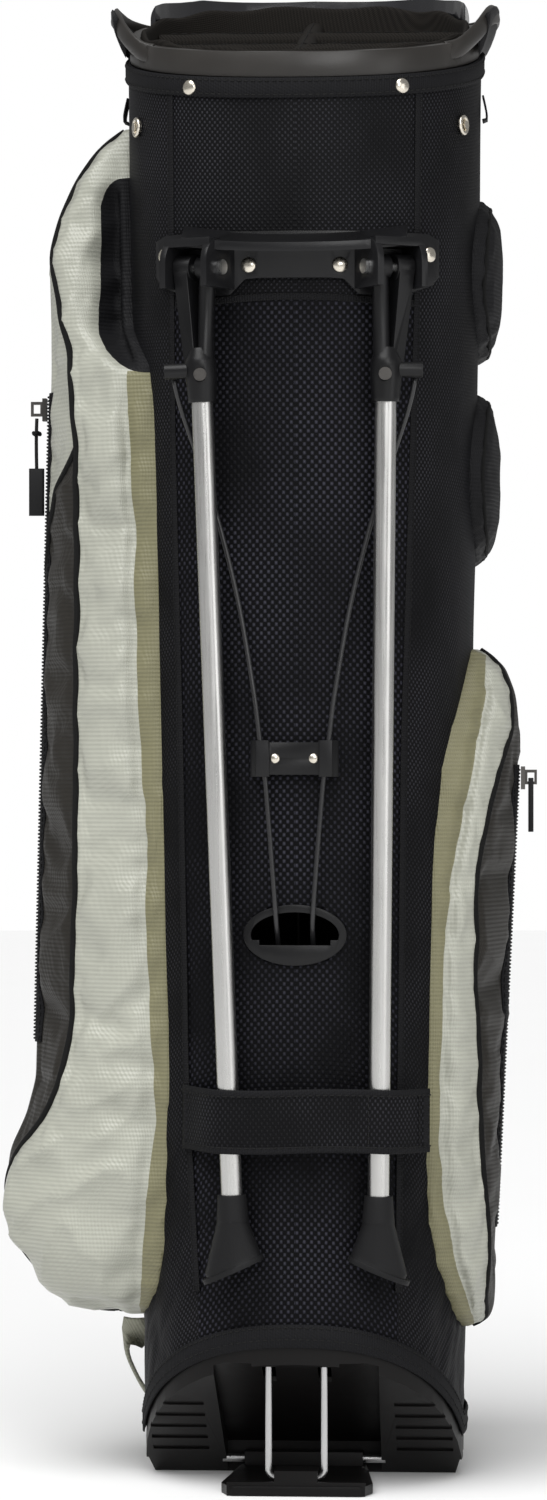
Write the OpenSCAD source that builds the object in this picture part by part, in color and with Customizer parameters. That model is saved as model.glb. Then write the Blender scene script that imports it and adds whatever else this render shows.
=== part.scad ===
// Golf stand bag: fabric tube between a moulded base and a slanted cuff, with
// two spring legs that a foot plate under the base pushes out through thin rods.
// Frame: +Z up, the legs face -Y, the origin is on the ground under the tube's axis.

/* [Body tube] */
// Half the tube's width at the ground, left to right
base_half_w = 97; // [92:1:102]
// Half the tube's depth at the ground, front to back
base_half_d = 112; // [106:1:118]
// Half the tube's width at the cuff
top_half_w = 108; // [104:1:112]
// Half the tube's depth at the cuff
top_half_d = 120; // [116:1:124]
// How square the tube's section is: 2 is an ellipse
section_power = 2.4; // [2.2:0.1:2.8]
// Thickness of the stiffened fabric wall
wall = 3; // [2.5:0.5:4]

/* [Cuff] */
// Height of the cuff's rim above the ground, at the tube's axis
rim_z = 880; // [860:5:900]
// Slope of the cuff, which is lower on the leg side
rim_slope = 13.5; // [10:0.5:16]

/* [Base] */
// Angle of the sloping underside that the bag leans on
facet_angle = 36; // [34:1:38]
// Where that underside meets the flat foot of the base
facet_back_y = -4; // [-8:1:-2]

/* [Stand] */
// Height of the leg pivots
pivot_z = 724; // [715:1:735]
// How far each pivot's axle is turned towards the side
splay = 30; // [26:1:34]
// Radius of the aluminium leg tube
leg_r = 6.35; // [6:0.05:6.6]
// Radius of the push rods
rod_r = 1.5; // [1.25:0.25:1.75]

/* [Hidden] */
$fn = 48;

section_steps = 48;
tube_z0 = 30;
leg_foot_x = [37, 49.5];
pivot_x = 57;
pivot_y = -124;
socket = [53.9, -125, 645];
leg_low_y = -119;
leg_low_z = 180;
axle_r = 3;
run = 0.05;
clip_z = 436;
port_z = 332;
strap_z = 223;
strap_h = 38;
plate_hinge = [0, -14, 9.5];
wire_y = -98;
wire_z = 10;
wire_r = 2;
wire_half = 16.5;
yoke_z = 150;
yoke_y = -97;
hem_rise = 13;
black = [0.09, 0.09, 0.10];
dark = [0.16, 0.155, 0.15];
silver = [0.70, 0.70, 0.62];
metal = [0.75, 0.72, 0.66];
alu = [0.82, 0.82, 0.83];

// ---------- functions ----------
function sgn(x) = x < 0 ? -1 : 1;
function mix(a, b, t) = a + (b - a) * t;
function unit(v) = v / norm(v);
function half_w(z) = mix(base_half_w, top_half_w, z / rim_z);
function half_d(z) = mix(base_half_d, top_half_d, z / rim_z);

// A point of the tube's outside at an angle round it (0 is +X, 90 is +Y), pushed out by off.
function skin(t, z, off = 0) = [
    (half_w(z) + off) * sgn(cos(t)) * pow(abs(cos(t)), 2 / section_power),
    (half_d(z) + off) * sgn(sin(t)) * pow(abs(sin(t)), 2 / section_power), z];

// The front surface's y at a given x and z.
function front_y(x, z, off = 0) =
    -(half_d(z) + off) * pow(1 - pow(abs(x) / (half_w(z) + off), section_power), 1 / section_power);

// Which way the front faces in plan at x, in degrees from straight ahead.
function front_turn(x, z) = sgn(x) * atan2(pow(abs(x), section_power - 1) / pow(half_w(z), section_power),
    pow(-front_y(x, z), section_power - 1) / pow(half_d(z), section_power));

function ring(z, off, k = section_steps) = [for (i = [0:k - 1]) skin(360 * i / k, z, off)];
function rim_height(y, off = 0) = rim_z + off + y * tan(rim_slope);

// Catmull-Rom through points p, open or closed, with steps samples for each span.
function cr(a, b, c, d, t) = 0.5 * ((2 * b) + (c - a) * t + (2 * a - 5 * b + 4 * c - d) * t * t
    + (3 * b - a - 3 * c + d) * t * t * t);
function open_curve(p, steps) = let(n = len(p)) concat(
    [for (i = [0:n - 2]) for (s = [0:steps - 1])
        cr(p[max(i - 1, 0)], p[i], p[i + 1], p[min(i + 2, n - 1)], s / steps)], [p[n - 1]]);
function loop_curve(p, steps) = let(n = len(p))
    [for (i = [0:n - 1]) for (s = [0:steps - 1])
        cr(p[(i + n - 1) % n], p[i], p[(i + 1) % n], p[(i + 2) % n], s / steps)];
function middle(p) = [for (k = [0:2]) [for (q = p) 1] * [for (q = p) q[k]] / len(p)];

// ---------- solid builders ----------
// Closed solid through rings of equal length, each running anticlockwise seen from the last ring's side.
module loft(rings) {
    k = len(rings[0]);
    m = len(rings);
    last = m - 1;
    points = concat([for (r = rings) each r], [middle(rings[0]), middle(rings[last])]);
    sides = [for (i = [0:m - 2]) for (j = [0:k - 1]) each [
        [i * k + j, (i + 1) * k + j, (i + 1) * k + (j + 1) % k],
        [i * k + j, (i + 1) * k + (j + 1) % k, i * k + (j + 1) % k]]];
    low = [for (j = [0:k - 1]) [m * k, j, (j + 1) % k]];
    high = [for (j = [0:k - 1]) [m * k + 1, last * k + (j + 1) % k, last * k + j]];
    polyhedron(points = points, faces = concat(sides, low, high), convexity = 8);
}

// Round or oval bar along a path. side is a direction that the path never runs along.
module sweep(path, rx, ry, side, k = 10) {
    n = len(path);
    loft([for (i = [0:n - 1])
        let(t = unit(path[min(i + 1, n - 1)] - path[max(i - 1, 0)]),
            u = unit(side - (side * t) * t), v = cross(t, u))
        [for (j = [0:k - 1]) path[i] + rx * cos(360 * j / k) * u + ry * sin(360 * j / k) * v]]);
}

module tube_solid(z0, z1, off) loft([ring(z0, off), ring(z1, off)]);
module tube_shell(z0, z1, outer, inner) difference() {
    tube_solid(z0, z1, outer);
    tube_solid(z0 - 1, z1 + 1, inner);
}
// Everything above the cuff's slanted plane, moved up by off.
module above_rim(off) translate([0, 0, rim_z + off]) rotate([rim_slope, 0, 0])
    translate([-300, -300, 0]) cube([600, 600, 300]);
module below_rim(off) translate([0, 0, rim_z + off]) rotate([rim_slope, 0, 0])
    translate([-300, -300, -300]) cube([600, 600, 300]);
// Everything under the sloping underside of the base, moved up by off.
module below_facet(off) translate([0, facet_back_y, off]) rotate([-facet_angle, 0, 0])
    translate([-300, -400, -300]) cube([600, 800, 300]);

// A dome-headed rivet at p, its axis along the tube's outward direction in plan, turned by turn.
module rivet(p, turn, r, shank) translate(p) rotate([0, 0, turn]) rotate([90, 0, 0]) {
    rotate_extrude() polygon(concat([[0, 0], [r, 0]],
        [for (a = [15:15:75]) [r * cos(a), r * 0.45 * sin(a)]], [[0, r * 0.45]]));
    translate([0, 0, -shank]) cylinder(r = r * 0.4, h = shank + 0.1);
}

// The bag's left side is the mirror of its right.
module on_side(s) mirror([s < 0 ? 1 : 0, 0, 0]) children();
// The leg pivot's own frame: +X out along the axle, -Y away from the bag.
module at_pivot() translate([pivot_x, pivot_y, pivot_z]) rotate([0, 0, splay]) children();
function leg_top() = socket;
function leg_foot(s) = [leg_foot_x[s < 0 ? 0 : 1], leg_low_y, leg_low_z];
// The leg tube's own frame: origin at the socket's mouth, -Z down the tube.
module at_leg(s) {
    d = leg_top() - leg_foot(s);
    translate(leg_top()) rotate([0, acos(d[2] / norm(d)), atan2(d[1], d[0])])
        rotate([0, 0, -atan2(d[1], d[0])]) children();
}

// ---------- base ----------
base_in = -wall - 0.3;
module base_shell() color(black) difference() {
    union() {
        difference() {
            loft([ring(0, -5), ring(14, -0.5), ring(24, -0.5)]);
            below_facet(0);
        }
        difference() {
            tube_solid(20, 125, base_in);
            below_facet(0);
            translate([-200, -20, 62]) cube([400, 400, 200]);
            translate([0, 0, 46]) base_top_cut();
        }
        difference() {
            intersection() {
                tube_solid(10, 125, -0.5);
                translate([0, 0, hem_rise - 1]) facet_slab();
            }
            below_facet(0);
        }
    }
    // the inside, open upwards, with a floor along both undersides and a housing over the plate
    difference() {
        tube_solid(3, 140, base_in - 3);
        below_facet(4);
        recess(4);
    }
    // the recess that the foot plate folds into, and the wires' way up
    recess(0);
    for (s = [-1, 1]) translate([s * wire_half, wire_y + 5, 40]) cube([8, 20, 200], center = true);
    // the pin's seats at both ends
    translate(plate_hinge) rotate([0, 90, 0]) cylinder(r = 2.5, h = 99.4, center = true);
    // ribs' grooves across both sides of the sloping underside
    for (i = [0:4]) for (s = [-1, 1]) rib_groove(i, s);
    // the groove round the foot
    difference() {
        translate([-150, -150, 24]) cube([300, 300, 3]);
        tube_solid(20, 30, -3.5);
        below_facet(hem_rise);
    }
}
module facet_slab() difference() {
    translate([-200, -300, -30]) cube([400, 300 + facet_back_y, 200]);
    translate([0, facet_back_y, 0]) rotate([-facet_angle, 0, 0])
        translate([-300, -400, 0]) cube([600, 800, 300]);
}
module base_top_cut() translate([0, facet_back_y, 0]) rotate([-facet_angle, 0, 0])
    translate([-300, -400, 0]) cube([600, 400, 300]);
module recess(grow) hull() {
    translate([-49 - grow, -110 - grow, 30]) cube([98 + 2 * grow, 4, 49 + grow]);
    translate([-47 - grow, -110 - grow, -12]) cube([94 + 2 * grow, 104 + 2 * grow, 31 + grow]);
}
module rib_groove(i, s) translate([0, facet_back_y, 0]) rotate([-facet_angle, 0, 0])
    translate([s * 74, -30 - i * 14, -1]) cube([34, 5, 4.4], center = true);

module base_binding() color(black) difference() {
    intersection() {
        difference() {
            tube_solid(tube_z0 - 4, 130, 1.6);
            tube_solid(tube_z0 - 6, 131, 0.2);
        }
        union() {
            translate([-200, -200, tube_z0 - 4]) cube([400, 400, 10]);
            translate([0, 0, hem_rise + 10]) facet_slab();
        }
    }
    below_facet(hem_rise);
    translate([-200, -200, 0]) cube([400, 400, tube_z0 - 1]);
}

plate_w = 92;
module foot_plate_pin() color(metal)
    translate(plate_hinge) rotate([0, 90, 0]) cylinder(r = 2.48, h = 99, center = true);
module foot_plate() color(black) difference() {
    union() {
        // the plate, wider at its front, with round corners
        translate([0, 0, 0.4]) linear_extrude(5.6) offset(4) polygon([
            [-34, -16], [34, -16], [plate_w / 2 - 5, -92], [plate_w / 2 - 9, -103],
            [-plate_w / 2 + 9, -103], [-plate_w / 2 + 5, -92]]);
        // the front lip
        translate([-plate_w / 2 + 5, -106, 0.4]) cube([plate_w - 10, 5, 8]);
        // the block that holds the wire
        translate([-12.8, wire_y - 8, 5]) cube([25.6, 21, 10]);
        // the hinge's knuckle
        translate([-36, plate_hinge[1] - 6.5, 0.6]) cube([72, 11.5, 13.5]);
    }
    // slot for the wire's cross bar, longer than the bar so that the plate can turn
    translate([-20, wire_y - wire_r - 2.4, wire_z - wire_r - 1.4])
        cube([40, 2 * wire_r + 4.8, 2 * wire_r + 2.8]);
    translate(plate_hinge) rotate([0, 90, 0]) cylinder(r = 2.48 + run, h = 200, center = true);
}
// the U of steel wire: cross bar at the foot plate, two uprights to the yoke
module lift_wire() color(metal) {
    translate([0, wire_y, wire_z]) rotate([0, 90, 0])
        cylinder(r = wire_r, h = 2 * (wire_half - 5), center = true);
    for (s = [-1, 1]) on_side(s) {
        translate([wire_half - 5, wire_y, wire_z + 5]) rotate([90, 0, 0])
            rotate([0, 0, -90]) rotate_extrude(angle = 90) translate([5, 0]) circle(wire_r);
        translate([wire_half, wire_y, wire_z + 5]) cylinder(r = wire_r, h = yoke_z - wire_z - 5);
        translate([wire_half, wire_y, yoke_z]) rotate([0, 90, 0])
            cylinder(r = wire_r, h = 9, center = true);
    }
}
module actuator_yoke() color(dark) difference() {
    translate([-26, yoke_y - 6, yoke_z - 9]) cube([52, 12, 34]);
    // eyes for the wire's ends, with room for its swing
    for (s = [-1, 1]) {
        translate([s * wire_half, wire_y, yoke_z]) rotate([0, 90, 0])
            cylinder(r = wire_r + run, h = 11, center = true);
        translate([s * wire_half, yoke_y, yoke_z - 12])
            cube([2 * wire_r + 1, 30, 24 + 2 * wire_r], center = true);
        translate([s * rod_route()[0][0], yoke_y, yoke_z]) cylinder(r = rod_r + 0.5, h = 60);
    }
}
module yoke_guide() color(dark) difference() {
    intersection() {
        translate([-32, -120, 128]) cube([64, 38, 150]);
        tube_solid(100, 300, -wall - 0.2);
    }
    translate([-27, yoke_y - 7, 100]) cube([54, 14, 200]);
    // rod ends run in the middle, in front
    translate([-14, -130, 240]) cube([28, 40, 60]);
}

// ---------- push rods ----------
// the points that the right-hand rod runs through, from the yoke to the leg head
function rod_route() = [
    [10, yoke_y, yoke_z + 6], [10, yoke_y, 200], [10, yoke_y, 262], [10.2, -98, 300], [10.3, -103.5, 318],
    [10.4, -109.5, 329], [10.5, -116, 334.5], [10.8, -120.5, 342], [12, -122, 360], [14.5, -122, 392],
    [17.3, -122, 425], [20.3, -122, 447], [24, -121, 476], [33, -116.5, 527], [45, -113.8, 575],
    [58, -112.5, 615], [67, -116, 642], [71, -121, 657.5]];
module push_rod() sweep(open_curve(rod_route(), 3), rod_r, rod_r, [0, 1, 0.02], 8);
module push_rod_left() color(black) on_side(-1) push_rod();
module push_rod_right() color(black) push_rod();

// the clip riveted to the front that guides both rods
module rod_clip() color(black) difference() {
    union() {
        translate([-15, -122, clip_z - 9.5]) cube([30, 6, 19]);
        for (s = [-1, 1]) translate([s * 18.8, -119.9, clip_z - 10.7]) {
            linear_extrude(21.4) hull() {
                translate([-s * 3.8, 0]) square([1, 8], center = true);
                translate([0, 0]) square([7, 9.2], center = true);
                translate([s * 5, 2]) circle(2.2);
            }
        }
    }
    for (s = [-1, 1]) on_side(s) hull() {
        translate([17.2, -122, clip_z - 12]) cylinder(r = rod_r + 0.5, h = 0.1);
        translate([20.4, -122, clip_z + 12]) cylinder(r = rod_r + 0.5, h = 0.1);
    }
    tube_solid(clip_z - 30, clip_z + 30, 0.3);
    for (s = [-1, 1]) translate([s * 11.4, -124, clip_z]) rotate([-90, 0, 0]) cylinder(r = 1.35, h = 12);
}
module clip_rivets() color(metal) for (s = [-1, 1])
    rivet([s * 11.4, -122, clip_z], 0, 3, 13);

// the oval mouth that the rods pass through, with its flat lower lip
module rod_port() color(black) difference() {
    intersection() {
        tube_shell(port_z - 30, port_z + 30, 2.4, -wall - 2);
        port_prism(30.5, 18, 60);
    }
    difference() {
        port_prism(26, 13.5, 200);
        translate([-50, -140, port_z - 40]) cube([100, 60, 37]);
    }
    translate([-21, -140, port_z - 6]) cube([42, 60, 12]);
}
module port_prism(half_x, half_z, depth) translate([0, -90, port_z]) rotate([90, 0, 0])
    linear_extrude(depth) resize([2 * half_x, 2 * half_z]) circle(20, $fn = 40);

// ---------- leg bracket ----------
module bracket_outline() translate([0, -60, 0]) rotate([90, 0, 0]) linear_extrude(90) offset(-3) offset(3)
    polygon([[-78, 746], [78, 746], [84, 743], [84, 722], [80, 716], [64, 709], [38, 709],
        [29, 718], [20, 718.5], [-20, 718.5], [-29, 718], [-38, 709], [-64, 709], [-80, 716], [-84, 722], [-84, 743]]);
module leg_bracket() color(black) difference() {
    union() {
        intersection() {
            tube_shell(700, 760, 4.3, 0.3);
            bracket_outline();
        }
        // the sloping roof along the top
        intersection() {
            tube_shell(700, 760, 24, 2);
            translate([-66, -160, 700]) cube([132, 90, 60]);
            translate([0, -half_d(pivot_z), 746]) rotate([20, 0, 0])
                translate([-100, -40, -5]) cube([200, 100, 5]);
        }
        for (s = [-1, 1]) on_side(s) at_pivot() clevis();
    }
    for (s = [-1, 1]) on_side(s) at_pivot() rotate([0, 90, 0]) cylinder(r = axle_r + 0.02, h = 60, center = true);
    tube_solid(690, 770, 0.3);
    for (p = bracket_rivet_places()) translate(p) rotate([0, 0, rivet_turn(p[0])])
        rotate([-90, 0, 0]) cylinder(r = 1.85, h = 30, center = true);
}
module clevis() {
    side_wall(12.5, 4);
    side_wall(-16.5, 4);
    translate([-16, -11, 12]) cube([32, 26, 4.9]);
}
function rivet_turn(x) = front_turn(x, 730);
module side_wall(x, t) translate([x, 0, 0]) rotate([90, 0, 90]) linear_extrude(t) polygon(concat(
    [[15, 17], [15, -12], [-15, -12]],
    [for (a = [180:-15:90]) [-1, 3] + 14 * [cos(a), sin(a)]]));
function bracket_rivet_places() = [
    [-27, front_y(27, 726, 4.45), 726], [27, front_y(27, 726, 4.45), 726],
    [-79, front_y(79, 734, 4.45), 734], [79, front_y(79, 734, 4.45), 734]];
module bracket_rivets() color(metal) for (p = bracket_rivet_places())
    rivet(p, rivet_turn(p[0]), 4.6, 11);
module bracket_backing_plate() color(metal) difference() {
    intersection() {
        tube_shell(705, 750, -wall - 0.2, -wall - 1.8);
        translate([-88, -150, 714]) cube([176, 100, 28]);
    }
    for (p = bracket_rivet_places()) translate(p) rotate([0, 0, rivet_turn(p[0])])
        rotate([90, 0, 0]) cylinder(r = 1.9, h = 60, center = true);
}

// ---------- legs ----------
module leg_axle() at_pivot() {
    rotate([0, 90, 0]) cylinder(r = axle_r, h = 33.2, center = true);
    for (x = [-18.5, 16.5]) translate([x, 0, 0]) rotate([0, 90, 0]) cylinder(r = 4.4, h = 2);
}
module leg_axles() color(metal) for (s = [-1, 1]) on_side(s) leg_axle();

module leg_head(s) color(black) difference() {
    union() {
        // the round inner arm and the flat outer arm, each with an eye on the axle
        at_pivot() {
            translate([-12, 0, 0]) rotate([0, 90, 0]) cylinder(r = 7, h = 9.6);
            hull() {
                translate([-7.2, 0, -4]) cylinder(r = 4.8, h = 1);
                translate([-6, 0, -62]) cylinder(r = 5, h = 1);
            }
            translate([1, 0, 0]) rotate([0, 90, 0]) cylinder(r = 8, h = 11);
            hull() {
                translate([2, -8, -6]) cube([9, 16, 4]);
                translate([-2, -5, -62]) cube([7, 10, 4]);
            }
        }
        at_leg(s) {
            cylinder(r1 = 8.2, r2 = 9.2, h = 14);
            translate([0, 0, 14]) cylinder(r = 9.2, h = 10);
            translate([0, 0, 24]) cylinder(r1 = 9.2, r2 = 6, h = 8);
            // the stub that the push rod ends in
            rotate([0, 0, 0]) translate([0, 0, 19]) rotate([0, 90, 0]) cylinder(r = 4.6, h = 21.5);
        }
    }
    at_leg(s) {
        translate([0, 0, -1]) cylinder(r = leg_r, h = 24);
        translate([0, -2, 16]) rotate([90, 0, 0]) cylinder(r = 1.9, h = 12);
        translate([0, -8.7, 16]) rotate([90, 0, 0]) cylinder(r = 4.2, h = 5);
    }
    at_pivot() rotate([0, 90, 0]) cylinder(r = axle_r + run, h = 60, center = true);
}
module leg_head_left() on_side(-1) leg_head(-1);
module leg_head_right() leg_head(1);

leg_len = 488;
module leg_tube(s) color(alu) at_leg(s) translate([0, 0, 22 - leg_len - 22]) difference() {
    cylinder(r = leg_r, h = leg_len + 22);
    translate([0, 0, -1]) cylinder(r = leg_r - 1.2, h = leg_len + 40);
    translate([0, -2, leg_len + 16]) rotate([90, 0, 0]) cylinder(r = 2, h = 12);
}
module leg_tube_left() on_side(-1) leg_tube(-1);
module leg_tube_right() leg_tube(1);

module leg_screw(s) color(metal) at_leg(s) translate([0, 0, 16]) rotate([90, 0, 0]) {
    cylinder(r = 1.8, h = 9);
    translate([0, 0, 8.8]) cylinder(r = 3.8, h = 2.4);
}
module leg_screw_left() on_side(-1) leg_screw(-1);
module leg_screw_right() leg_screw(1);

// the rubber boot, its sole cut to lie flat when the leg is out
sole_tilt = 22;
module leg_foot(s) at_leg(s) difference() {
    union() {
        translate([0, 0, -482]) cylinder(r1 = 9.6, r2 = 8.4, h = 16);
        hull() {
            translate([0, 0, -484]) cylinder(r = 9.4, h = 2, $fn = 32);
            translate([0, -2.5, -508]) rotate([0, sole_tilt, 0]) resize([35, 21, 3]) cylinder(r = 10, h = 3, $fn = 32);
        }
        translate([0, -2.5, -511]) rotate([0, sole_tilt, 0]) linear_extrude(3) resize([39, 23]) circle(10, $fn = 40);
    }
    translate([0, 0, -leg_len]) cylinder(r = leg_r, h = 60);
}
// each boot's back is shaped to the tube that it rests on
module leg_foot_left() on_side(-1) boot(-1);
module leg_foot_right() boot(1);
module boot(s) color(dark) difference() {
    leg_foot(s);
    tube_solid(100, 200, 0.4);
}

// ---------- leg lock strap ----------
// plan of the strap's middle line, from its sewn end to its loose end
function strap_plan() = open_curve([[-66.5, -95.2], [-60, -105.2], [-52.4, -117.2], [-45.5, -124.6], [-38.5, -126.8],
    [5, -127.1], [50, -126.8], [57.5, -124.4], [65, -117], [73, -106.5], [78, -101.6]], 4);
function strap_side(d) = let(p = strap_plan(), n = len(p)) [for (i = [0:n - 1])
    let(t = unit(p[min(i + 1, n - 1)] - p[max(i - 1, 0)])) p[i] + d * [t[1], -t[0]]];
module leg_lock_strap() color(black) translate([0, 0, strap_z - strap_h / 2]) linear_extrude(strap_h)
    polygon(concat(strap_side(0), [for (i = [len(strap_plan()) - 1:-1:0]) strap_side(1.8)[i]]));

// ---------- body tube and what is in it ----------
module body_tube() color(black) difference() {
    tube_solid(tube_z0, 930, 0);
    tube_solid(tube_z0 - 1, 931, -wall);
    above_rim(-band_h - 0.4);
    below_facet(hem_rise);
    port_prism(30.8, 18.3, 60);
    for (s = [-1, 1]) translate([s * 11.4, -100, clip_z]) rotate([90, 0, 0]) cylinder(r = 1.4, h = 40);
    for (p = bracket_rivet_places()) translate(p) rotate([0, 0, rivet_turn(p[0])])
        rotate([90, 0, 0]) cylinder(r = 1.9, h = 40, center = true);
    at_cuff_rivets() rivet_hole();
    for (t = snap_angles) snap_at(t) cylinder(r = 1.6, h = 20, center = true);
}
stay_angles = [38, 142, 218, 322];
module stay_rods() color(metal) for (t = stay_angles) {
    a = skin(t, t > 180 ? 127 : 70, -wall - 5.5);
    b = skin(t, t > 180 ? 812 : 850, -wall - 5.5);
    d = b - a;
    translate(a) rotate([0, acos(d[2] / norm(d)), atan2(d[1], d[0])])
        cylinder(r = 3.5, h = norm(d));
}
// full-length dividers: one wall front to back, two across, six cells in all
cross_y = 34;
divider_t = 1.6;
module divider_clip() difference() {
    union() {
        intersection() {
            tube_solid(8, 930, -wall - 0.6);
            below_rim(-62);
        }
        intersection() {
            tube_solid(8, 930, lining_in - 0.3);
            below_rim(-17.8);
        }
    }
    // clear of the bracket's backing plate
    difference() {
        translate([-92, -200, 712]) cube([184, 120, 32]);
        tube_solid(700, 760, -wall - 2.2);
    }
    below_facet(12);
    translate([-200, -200, -200]) cube([400, 400, 214]);
    translate([-33, -200, 100]) cube([66, 200 - 81, 180]);
    translate([-54, -200, 0]) cube([108, 200, 89]);
    translate([-30, -200, 80]) cube([60, 200 - 82, 30]);
    stay_clearance();
}
module stay_clearance() for (t = stay_angles) {
    a = skin(t, 60, -wall - 5.5);
    b = skin(t, 900, -wall - 5.5);
    hull() {
        translate(a) cylinder(r = 4.5, h = 1, $fn = 16);
        translate(b) cylinder(r = 4.5, h = 1, $fn = 16);
    }
}
module divider_long() color(dark) intersection() {
    divider_clip();
    translate([-divider_t / 2, -200, 0]) cube([divider_t, 400, 1000]);
}
module divider_cross() color(dark) difference() {
    intersection() {
        divider_clip();
        for (y = [-cross_y, cross_y])
            translate([-200, y - divider_t / 2, 0]) cube([400, divider_t, 1000]);
    }
    translate([-divider_t / 2 - 0.2, -200, 0]) cube([divider_t + 0.4, 400, 1000]);
}
// the padded bars along the dividers' top edges
bar_r = 7;
module divider_bars() color(dark) intersection() {
    translate([0, 0, rim_z - 10]) rotate([rim_slope, 0, 0]) {
        rotate([90, 0, 0]) cylinder(r = bar_r, h = 300, center = true);
        for (y = [-cross_y, cross_y]) translate([0, y, 0]) rotate([0, 90, 0])
            cylinder(r = bar_r, h = 300, center = true);
    }
    tube_solid(800, 945, lining_in - 0.2);
}

// ---------- cuff ----------
// what part of the section the cuff and its lining take up, measured in from the fabric
cuff_out = -1.2;
cuff_in = -7.4;
lining_in = -11.6;
band_h = 14.5;
skirt_h = 44;
module top_cuff() color(dark) difference() {
    intersection() {
        tube_solid(790, 945, cuff_out);
        below_rim(0);
    }
    tube_solid(780, 950, cuff_in);
    below_rim(-skirt_h);
    // under the band, the skirt goes inside the fabric
    difference() {
        below_rim(-band_h);
        tube_solid(700, 950, -wall - 0.3);
    }
    // the glossy plate's seat at the back
    difference() {
        back_half(0);
        below_rim(-band_h - 20);
    }
    at_cuff_rivets() rivet_hole();
    for (s = [-1, 1]) on_side(s) cuff_handle(0.1);
}
module back_half(gap) translate([-160, 44 + gap, 700]) cube([320, 160, 300]);
// the tall glossy plate round the back of the rim, its ends rounded down
module cuff_back_plate() color(black) difference() {
    intersection() {
        tube_shell(780, 945, cuff_out, cuff_in);
        back_half(0.3);
        translate([0, 200, rim_z + 6]) rotate([90, 0, 0]) linear_extrude(300) offset(14) offset(-14)
            polygon([[-99, -80], [99, -80], [99, 20], [70, 28.5], [0, 30.5], [-70, 28.5], [-99, 20]]);
    }
    below_rim(-band_h - 19.7);
    difference() {
        below_rim(-band_h);
        tube_solid(700, 950, -wall - 0.3);
    }
    at_cuff_rivets() rivet_hole();
    for (s = [-1, 1]) on_side(s) cuff_handle(0.1);
}
// A handle at each side: the band rises from the rim, leans out and comes back to it.
function handle_path() = open_curve([[88, -72, 858], [96, -66, 861], [106, -53, 872], [113, -34, 884],
    [116, -8, 889], [115.6, 16, 890], [112, 38, 889], [104, 54, 888], [94, 66, 888]], 3);
module cuff_handle(grow) sweep(handle_path(), 2.4 + grow, 6 + grow, [1, 0, 0.25], 12);
module cuff_handle_left() color(dark) on_side(-1) cuff_handle(0);
module cuff_handle_right() color(dark) cuff_handle(0);
// the rubber grip on each handle, a plate that flares out from the rim's side up to the band
function grip_path() = open_curve([[108.4, -42, 871], [111.2, -26, 876.5], [112.6, -6, 879], [112.6, 14, 880],
    [111, 32, 880.5], [107.6, 46, 880]], 3);
module cuff_grip() difference() {
    sweep(grip_path(), 3.2, 15.5, [1, 0, -0.34], 16);
    tube_solid(780, 950, 1.9);
    cuff_handle(0.05);
}
module cuff_grip_left() color(black) on_side(-1) cuff_grip();
module cuff_grip_right() color(black) cuff_grip();

module cuff_lining() color(dark) difference() {
    intersection() {
        tube_shell(790, 945, cuff_in - 0.3, lining_in);
        below_rim(3);
    }
    below_rim(-60);
    stay_clearance();
}
// grosgrain tape round the fabric's top edge
module collar_binding() color(black) difference() {
    intersection() {
        tube_shell(790, 930, 1.6, 0.15);
        below_rim(-band_h - 0.6);
    }
    below_rim(-band_h - 12.6);
    at_cuff_rivets() rivet_hole();
}
// the four rivets near the rim, two at the front and two at the back, each facing straight out
cuff_rivet_x = 63;
module at_cuff_rivets() for (s = [-1, 1]) for (y = [-107, 105]) {
    z = rim_height(y, -21.5);
    mirror([0, y > 0 ? 1 : 0, 0]) translate([s * cuff_rivet_x, front_y(cuff_rivet_x, z, 1.75), z])
        rotate([0, 0, front_turn(s * cuff_rivet_x, z)]) children();
}
module rivet_hole() rotate([90, 0, 0]) cylinder(r = 2, h = 30, center = true);
module cuff_rivets() color(metal) at_cuff_rivets() rivet([0, 0, 0], 0, 4.6, 9);
// press studs for the rain hood
snap_angles = [208, 332, 152, 28];
function snap_z(t) = rim_height(skin(t, 820)[1], t > 180 ? -50 : -52);
module snap_at(t) translate(skin(t, snap_z(t), 0.2)) rotate([0, 0, atan2(
    pow(abs(sin(t)), 2 - 2 / section_power) * sgn(sin(t)) / half_d(820),
    pow(abs(cos(t)), 2 - 2 / section_power) * sgn(cos(t)) / half_w(820))]) rotate([0, 90, 0]) children();
module hood_snaps() color(metal) for (t = snap_angles) snap_at(t) {
    rotate_extrude() translate([4.8, 1.5]) circle(1.3);
    translate([0, 0, -5]) cylinder(r = 1.5, h = 5.5);
    cylinder(r = 5, h = 0.8);
    cylinder(r = 2.1, h = 3.2);
    translate([0, 0, 2.6]) cylinder(r = 2.6, h = 1);
}
// folded tape loops at both sides that the carrying strap hooks to
loop_z = 834;
module side_loops() color(black) for (s = [-1, 1]) on_side(s)
    translate([half_w(loop_z) + 0.4, -8, loop_z]) difference() {
        rotate([-90, 0, 0]) linear_extrude(16) hull() {
            translate([2.3, -7]) circle(2.4);
            translate([0.5, 6]) circle(0.6);
            translate([0.5, -8.5]) circle(0.6);
        }
        tube_in_place(s);
    }
module tube_in_place(s) translate([-half_w(loop_z) - 0.4, 8, -loop_z]) tube_solid(780, 870, 0.2);

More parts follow.
